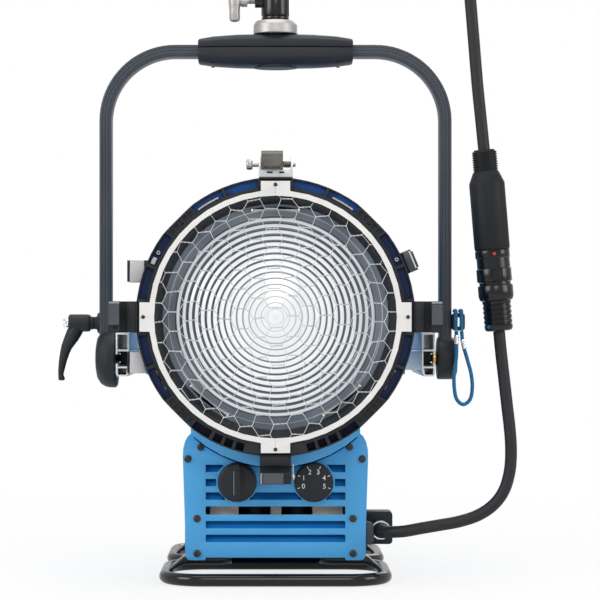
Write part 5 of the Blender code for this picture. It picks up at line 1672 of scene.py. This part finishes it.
@dataclass
class Coupler:
    """The two cable connectors and the ring between them, turned about their leaning axis."""

    foot: Point = (0.3186, CABLE_Y, 0.3600)
    head: Point = (0.2973, CABLE_Y, 0.6181)

    def build(self) -> tuple[list[Piece], list[Piece]]:
        """Makes the three bodies with their ribs, flutes and colour marks.

        Returns:
            The pieces at the end of the tail cable, and those at the extension's start.
        """
        span = (Vector(self.head) - Vector(self.foot)).length
        tail = [(0.0, 0.0), (0.0155, 0.0), (0.0185, 0.0012), (0.0200, 0.0040)]
        for step in range(5):
            z = 0.0090 + 0.0068 * step
            tail += [(0.02015, z), (0.0193, z + 0.0006), (0.0193, z + 0.0022),
                     (0.02015, z + 0.0028)]
        tail += [(0.0204, 0.0430), (0.0232, 0.0446), (0.0250, 0.0500), (0.0250, 0.0640),
                 (0.0242, 0.0655), (0.0225, 0.0660), (0.0225, 0.0700), (0.0, 0.0700)]
        lower = [self.turned(tail, "tail_connector", "tail_coupler", GLOSS_BLACK)]
        top = [(0.0, 0.1158), (0.0238, 0.1158), (0.0245, 0.1168), (0.0253, 0.1200),
               (0.0253, 0.2110), (0.0248, 0.2124), (0.0190, 0.2262), (0.0176, 0.2276)]
        for step in range(8):
            z = 0.2290 + 0.0034 * step
            top += [(0.0178, z), (0.0163, z + 0.0004), (0.0163, z + 0.0015), (0.0178, z + 0.0019)]
        top += [(0.0170, span - 0.0025), (0.0150, span - 0.0020), (0.0146, span), (0.0, span)]
        upper = [self.turned(top, "extension_connector", "extension_coupler", MATT_BLACK)]
        ring = [(0.0, 0.0703), (0.0238, 0.0703), (0.0250, 0.0712), (0.0252, 0.0720),
                (0.0252, 0.0880), (0.0246, 0.0893), (0.0236, 0.0900), (0.0236, 0.1040),
                (0.0246, 0.1050), (0.0250, 0.1060), (0.0250, 0.1140), (0.0246, 0.1151),
                (0.0238, 0.1155), (0.0, 0.1155)]
        lower.append(self.turned(ring, "coupling_ring", "fluted_ring", GLOSS_BLACK, True))
        return lower + self.marks(), upper

    def lean(self) -> Matrix:
        """Takes a piece drawn upright over the drawing frame's origin to the leaning axis."""
        foot, head = at(*self.foot), at(*self.head)
        turn = (head - foot).to_track_quat("Z", "Y").to_matrix().to_4x4()
        return set_at(foot, turn)

    def turned(self, profile: Sequence[tuple[float, float]], node: str, name: str,
               finish: Finish, fluted: bool = False) -> Piece:
        """Turns one body upright and leans it."""
        made = spun(name, profile, Axis.Z, at(0, 0, 0), 48)
        if fluted:
            for low, high, depth in ((0.073, 0.087, 0.0014), (0.107, 0.113, 0.0010)):
                edit(made)
                pick_faces(made, lambda c, n: abs(n.z) < 0.3 and low < c.z - ORIGIN.z < high
                           and int((math.atan2(c.y - ORIGIN.y, c.x - ORIGIN.x) + 0.2) * 10
                                   / math.tau + 20) % 2 == 0)
                bpy.ops.mesh.inset(thickness=0.0006, depth=-depth)
                drop_selection()
        return stand_in(smoothed(placed(made, self.lean()), 30), name, finish, node)

    def marks(self) -> list[Piece]:
        """A red dot on the ring and a blue mark on the lower body, as alignment signs."""
        made_marks = []
        for name, z, radius, size, finish, heading in (
                ("red_dot", 0.1100, 0.0248, 0.0024, RED_MARK, COUPLER_FRONT),
                ("blue_dot", 0.0070, 0.0203, 0.0026, SHADED_LOUVRE_AND_MARK_BLUE, COUPLER_FRONT - 48)):
            dot = spun(name, [(0.0, 0.0), (size, 0.0), (size, -0.0003), (0.0, -0.0006)], Axis.Y,
                       at(0, 0, z), 16)
            round_it = set_at(ORIGIN, Matrix.Rotation(math.radians(heading), 4, "Z"))
            place = self.lean() @ round_it @ Matrix.Translation(Vector((0.0, -radius, 0.0)))
            made_marks.append(carry(placed(dot, place), "coupler_" + name, "lamp_house", finish))
        return made_marks


@dataclass
class Hanger:
    """The socket's T-screw, and the collar under the socket."""

    screw: float = 0.8467

    def build(self) -> None:
        """Makes the turned parts."""
        collar = [(0.0, 0.7978), (0.0318, 0.7978), (0.0325, 0.7986), (0.0325, 0.8112),
                  (0.0318, 0.8124), (0.0296, 0.8160), (0.0286, 0.8168), (0.0140, 0.8168),
                  (0.0140, 0.8550), (0.0132, 0.8568), (0.0120, 0.8575), (0.0, 0.8575)]
        made = spun("collar", collar, Axis.Z, at(0, PIVOT_Y, 0), 64)
        stand_in(made, "turned_collar", TURNED_ALUMINIUM, "spigot_collar")
        self.t_screw()

    def t_screw(self) -> None:
        """Threaded shaft, nut and wing bar of the clamp screw."""
        shaft = [(0.0, -0.0153), (0.0034, -0.0153)]
        for step in range(19):
            x = -0.0160 - 0.00125 * step
            shaft += [(0.0040, x), (0.0034, x - 0.0006)]
        shaft += [(0.0036, -0.0415), (0.0078, -0.0415), (0.0082, -0.0420), (0.0082, -0.0500),
                  (0.0078, -0.0505), (0.0060, -0.0520), (0.0060, -0.0560), (0.0, -0.0560)]
        bar = spun("t_shaft", shaft, Axis.X, at(0, PIVOT_Y, self.screw), 24)
        half = ((0.0, 0.0303), (0.0034, 0.0301), (0.0056, 0.0294), (0.0072, 0.0282),
                (0.0079, 0.0262), (0.0079, 0.0130), (0.0084, 0.0080), (0.0091, 0.0030),
                (0.0092, 0.0))
        wing = [(r, self.screw - v) for r, v in half] + [(r, self.screw + v)
                                                          for r, v in reversed(half[:-1])]
        wing = spun("t_wing", wing, Axis.Z, at(-0.0603, PIVOT_Y, 0), 28)
        stand_in(joined([bar, wing]), "t_screw_turned", TURNED_ALUMINIUM, "t_screw")


@dataclass
class Ears:
    """Accessory ears: a stepped hook with a paler face on each, and a pale strip along each top lip
    that is a painted highlight.
    """

    raised: tuple[float, float] = (-0.0116, 0.0178)
    hook: tuple[float, float] = (0.2165, 0.2345)
    front: float = -0.0140
    step: float = 0.0028

    def build(self) -> None:
        """Makes the three ears and their faces."""
        ways = {
            "left_ear": lambda r, t: (-r, LENS_Z + t), "right_ear": lambda r, t: (r, LENS_Z + t),
            "bottom_ear": lambda r, t: (-t, LENS_Z - r),
        }
        low, high = self.raised
        r0, r1 = self.hook
        faces, lip_highlights = [], []
        for node, way in ways.items():
            ear = merged(node)
            steps = [self.block(way, (r0, r1), span, (self.front - 0.002, self.front + self.step))
                     for span in ((-0.0240, low), (high, 0.0240))]
            steps.append(self.block(way, (r0, r1), (low - 0.001, high + 0.001),
                                    (self.front - 0.002, self.front + 0.0005)))
            cut_with(ear, steps)
            bevelled(ear, 0.0007, 2)
            stand_in(ear, node + "_stepped", BLACK_CASTING, node)
            faces.append(self.block(way, (0.2181, 0.2329), (low + 0.0006, high - 0.0006),
                                    (self.front, self.front + 0.0010), 0.0004))
            ledge = self.front + self.step
            # A painted highlight: a pale strip along the hook's lit top lip.
            lip_highlights.append(self.block(way, (0.2180, 0.2328), (high + 0.0006, 0.0212),
                                   (ledge - 0.0005, ledge + 0.0006), 0.0003))
        carry(joined(faces), "ear_faces", "lens_door", SLATE)
        carry(joined(lip_highlights), "ear_lip_highlights", "lens_door", PAINTED_HIGHLIGHT)
        self.pin()

    def block(self, way: Callable, radii: tuple[float, float], across: tuple[float, float],
              depth: tuple[float, float], width: float = SHARP) -> Piece:
        """A block between two radii, in an ear's own directions."""
        one, two = way(radii[0], across[0]), way(radii[1], across[1])
        low = (min(one[0], two[0]), depth[0], min(one[1], two[1]))
        high = (max(one[0], two[0]), depth[1], max(one[1], two[1]))
        return slabbed("block", low, high, width, 1)

    def pin(self) -> None:
        """The sprung ball pin beside the bottom ear."""
        profile = [(0.0, 0.1525), (0.0013, 0.1528), (0.0024, 0.1545), (0.0027, 0.1565),
                   (0.0024, 0.1585), (0.0014, 0.1602), (0.0009, 0.1608), (0.0009, 0.1740),
                   (0.0, 0.1740)]
        ball = spun("ball", profile, Axis.Z, at(0.0247, -0.0070, 0), 20)
        carry(ball, "ear_ball_pin", "lens_door", STEEL)


@dataclass
class TopLatch:
    """Accessory latch: pale bracket, toothed block, knurled pin and its spring."""

    x: tuple[float, float] = (-0.0205, 0.0215)
    y: float = 0.030
    z: float = 0.5956

    def build(self) -> None:
        """Makes the latch's parts."""
        bracket = bevelled(merged("latch_bracket"), 0.0007, 2)
        front = slabbed("front", (self.x[0], 0.0080, 0.5794), (self.x[1], 0.0098, 0.5872), 0.0005)
        stand_in(joined([bracket, front]), "latch_bracket_folded", PALE_STEEL, "latch_bracket")
        slots = [slabbed("slot", (a, 0.0077, 0.5819), (b, 0.0083, 0.5843), 0.0002, 1)
                 for a, b in ((-0.0122, -0.0040), (0.0050, 0.0124))]
        carry(joined(slots), "latch_slots", "lens_door", BLACK_CASTING)
        self.block()
        self.knob()
        start = at(0.0110, self.y, self.z)
        spring = coiled("latch_spring", start, Vector((0.0100, 0, 0)), 6.5, 0.0044, 0.0005)
        carry(spring, "latch_spring", "lens_door", BRONZE_SPRING)

    def block(self) -> None:
        """The block, its front lip cut to a row of teeth between two feet."""
        block = bevelled(merged("latch_block"), 0.0026, 4)
        left, right, root, count = -0.0158, 0.0062, 0.5895, 8
        tools = [slabbed("foot", (-0.0260, -0.0200, 0.5700), (0.0200, 0.0050, 0.5856), SHARP, 1),
                 slabbed("gap", (left, -0.0190, 0.5700), (right, -0.0020, root), SHARP, 1)]
        width = (right - left) / count
        for i in range(count):
            notch = [at(left + (i + share) * width, -0.0180, root + v)
                     for share, v in ((0.2, -0.0010), (0.5, 0.0016), (0.8, -0.0010))]
            tools.append(plate("notch", notch, Vector((0, 0.0150, 0))))
        cut_with(block, tools)
        stand_in(block, "toothed_block", LATCH_BRONZE, "latch_block")

    def knob(self) -> None:
        """The pull pin with its knurled knob."""
        pin = [(0.0, -0.0413), (0.0052, -0.0413), (0.0062, -0.0409), (0.0073, -0.0398),
               (0.0075, -0.0392), (0.0075, -0.0346), (0.0070, -0.0334), (0.0060, -0.0323),
               (0.0034, -0.0323), (0.0034, 0.0270), (0.0028, 0.0285), (0.0, 0.0285)]
        made = spun("pin", pin, Axis.X, at(0, self.y, self.z), 36)
        middle = at(-0.0369, 0, 0).x
        knurled(made, lambda c, n: abs(n.x) < 0.3 and abs(c.x - middle) < 0.0015, 0.0006)
        stand_in(made, "knurled_pin", STEEL, "latch_knob")


@dataclass
class SideParts:
    """The door catch, the brake cover, the clamp lever and the igniter."""

    def build(self) -> None:
        """Makes the parts at both sides of the lamp."""
        self.catch()
        self.cover()
        self.lever()
        self.igniter()

    def catch(self) -> None:
        """Dark catch with a bright spring strip along its face."""
        softened("door_catch", 0.0006, 2, DARK_CATCH)
        strip = slabbed("strip", (0.2080, 0.0166, LENS_Z - 0.0125),
                        (0.2104, 0.0174, LENS_Z + 0.0125), 0.0003, 1)
        carry(placed(strip, about_lens(-22.6)), "catch_strip", "door_catch", CHROME)

    def cover(self) -> None:
        """Brake cover with a flat facet on its front corner."""
        cover = merged("left_end_cover")
        drop_selection()
        way = Vector((-0.6, -0.8, 0.0))
        bpy.ops.mesh.primitive_cube_add(size=0.04,
                                        location=at(-0.2557, 0.1339, 0.3200) + way * 0.02,
                                        rotation=(0.0, 0.0, math.atan2(0.8, 0.6)),
                                        scale=(1.0, 3.0, 3.0))
        tool = bpy.context.object
        settle(tool)
        cut_with(cover, [tool])
        bevelled(cover, 0.0010, 3, 30)
        stand_in(cover, "faceted_cover", BLACK_PLASTIC, "left_end_cover")

    def lever(self) -> None:
        """Ribbed hub and a drooping arm that ends in a small bulb."""
        y, z = PIVOT_Y, 0.3711
        hub = [(0.0, -0.2596), (0.0152, -0.2596), (0.0152, -0.2618), (0.0140, -0.2630),
               (0.0098, -0.2640), (0.0096, -0.2660), (0.0088, -0.2668), (0.0096, -0.2680),
               (0.0088, -0.2692), (0.0096, -0.2704), (0.0096, -0.2732), (0.0116, -0.2738),
               (0.0124, -0.2750), (0.0129, -0.2790), (0.0129, -0.3020), (0.0124, -0.3044),
               (0.0112, -0.3057), (0.0104, -0.3060), (0.0074, -0.3060), (0.0072, -0.3000),
               (0.0, -0.3000)]
        made = spun("hub", hub, Axis.X, at(0, y, z), 40)
        path = ((-0.2905, 0.3705, 0.0100), (-0.2958, 0.3611, 0.0114), (-0.3011, 0.3505, 0.0106),
                (-0.3056, 0.3425, 0.0092), (-0.3091, 0.3354, 0.0080), (-0.3115, 0.3278, 0.0071),
                (-0.3134, 0.3203, 0.0064), (-0.3150, 0.3128, 0.0057), (-0.3162, 0.3052, 0.0051),
                (-0.3172, 0.2990, 0.0044), (-0.3175, 0.2947, 0.0040), (-0.3170, 0.2915, 0.0044),
                (-0.3164, 0.2890, 0.0050), (-0.3163, 0.2872, 0.0046), (-0.3163, 0.2862, 0.0030))
        arm = piped("arm", [[at(u, y, v) for u, v, _ in path]], 0.01, 6,
                    radii=[r / 0.01 for _, _, r in path])
        modify(made, "BOOLEAN", operation="UNION", solver="EXACT", object=arm)
        bpy.data.objects.remove(arm)
        smoothed(made, 38)
        stand_in(made, "clamp_lever", BLACK_PLASTIC, "tilt_lever")

    def igniter(self) -> None:
        """Potted igniter with the terminal blocks that show between the capacitors."""
        body = bevelled(merged("igniter_block"), 0.0020, 3)
        fronts = [slabbed("front", (a, 0.1040, 0.0450), (b, 0.2010, 0.1085), 0.0012)
                  for a, b in ((-0.0950, -0.0535), (-0.0072, 0.0088), (0.0535, 0.0980))]
        stand_in(joined([body, *fronts]), "potted_igniter", IGNITER_BEIGE, "igniter_block")


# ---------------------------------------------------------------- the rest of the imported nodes
ROUNDED = {
    "lens_clamp_ring": 0.0004, "lens_retainer": 0.0004, "housing_shell": 0.0007,
    "front_flange": 0.0006, "rear_cover": 0.0012, "rear_handle": 0.0010, "lower_case": 0.0008,
    "front_panel": 0.0005, "dial_disc": 0.0007, "left_capacitor": 0.0010,
    "right_capacitor": 0.0010, "carriage_rods": 0.0005, "left_rail": 0.0005,
    "right_rail": 0.0005, "upper_hinge": 0.0006, "lower_hinge": 0.0006, "inlet_plate": 0.0012,
    "inlet_cover": 0.0008, "cable_gland": 0.0004, "focus_knob": 0.0009, "focus_spindle": 0.0004,
    "lamp_carriage": 0.0008, "lamp_holder": 0.0006, "reflector": 0.0002,
    "left_slide_nut": 0.0006, "right_slide_nut": 0.0006, "brass_nut": 0.0004,
    "right_end_cover": 0.0010, "cord_hook": 0.0008, "lever_button": 0.0004,
    "hanger_socket": 0.0004,
}


def dress_the_rest() -> None:
    """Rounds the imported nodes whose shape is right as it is, and paints what is still shown."""
    for node, width in ROUNDED.items():
        softened(node, width)
    for node, holder in frame["nodes"].items():
        if not holder.hide_render:
            holder.data.materials.clear()
            holder.data.materials.append(SLOT_FINISH[SLOT_OF[node]].material())


# ---------------------------------------------------------------- in order
def main() -> None:
    """Builds the studio and every sub-assembly."""
    logging.basicConfig(level=logging.INFO, format="%(name)s: %(message)s")
    Studio().build()
    Cables().build(*Coupler().build())
    for assembly in (SteppedLens, WireGuard, Ears, TopLatch, SideParts, LensDoor, Panel, Skids,
                     Stirrup, Hanger):
        assembly().build()
    dress_the_rest()
    drop_selection()
    bpy.context.view_layer.update()


if __name__ == "__main__":
    main()
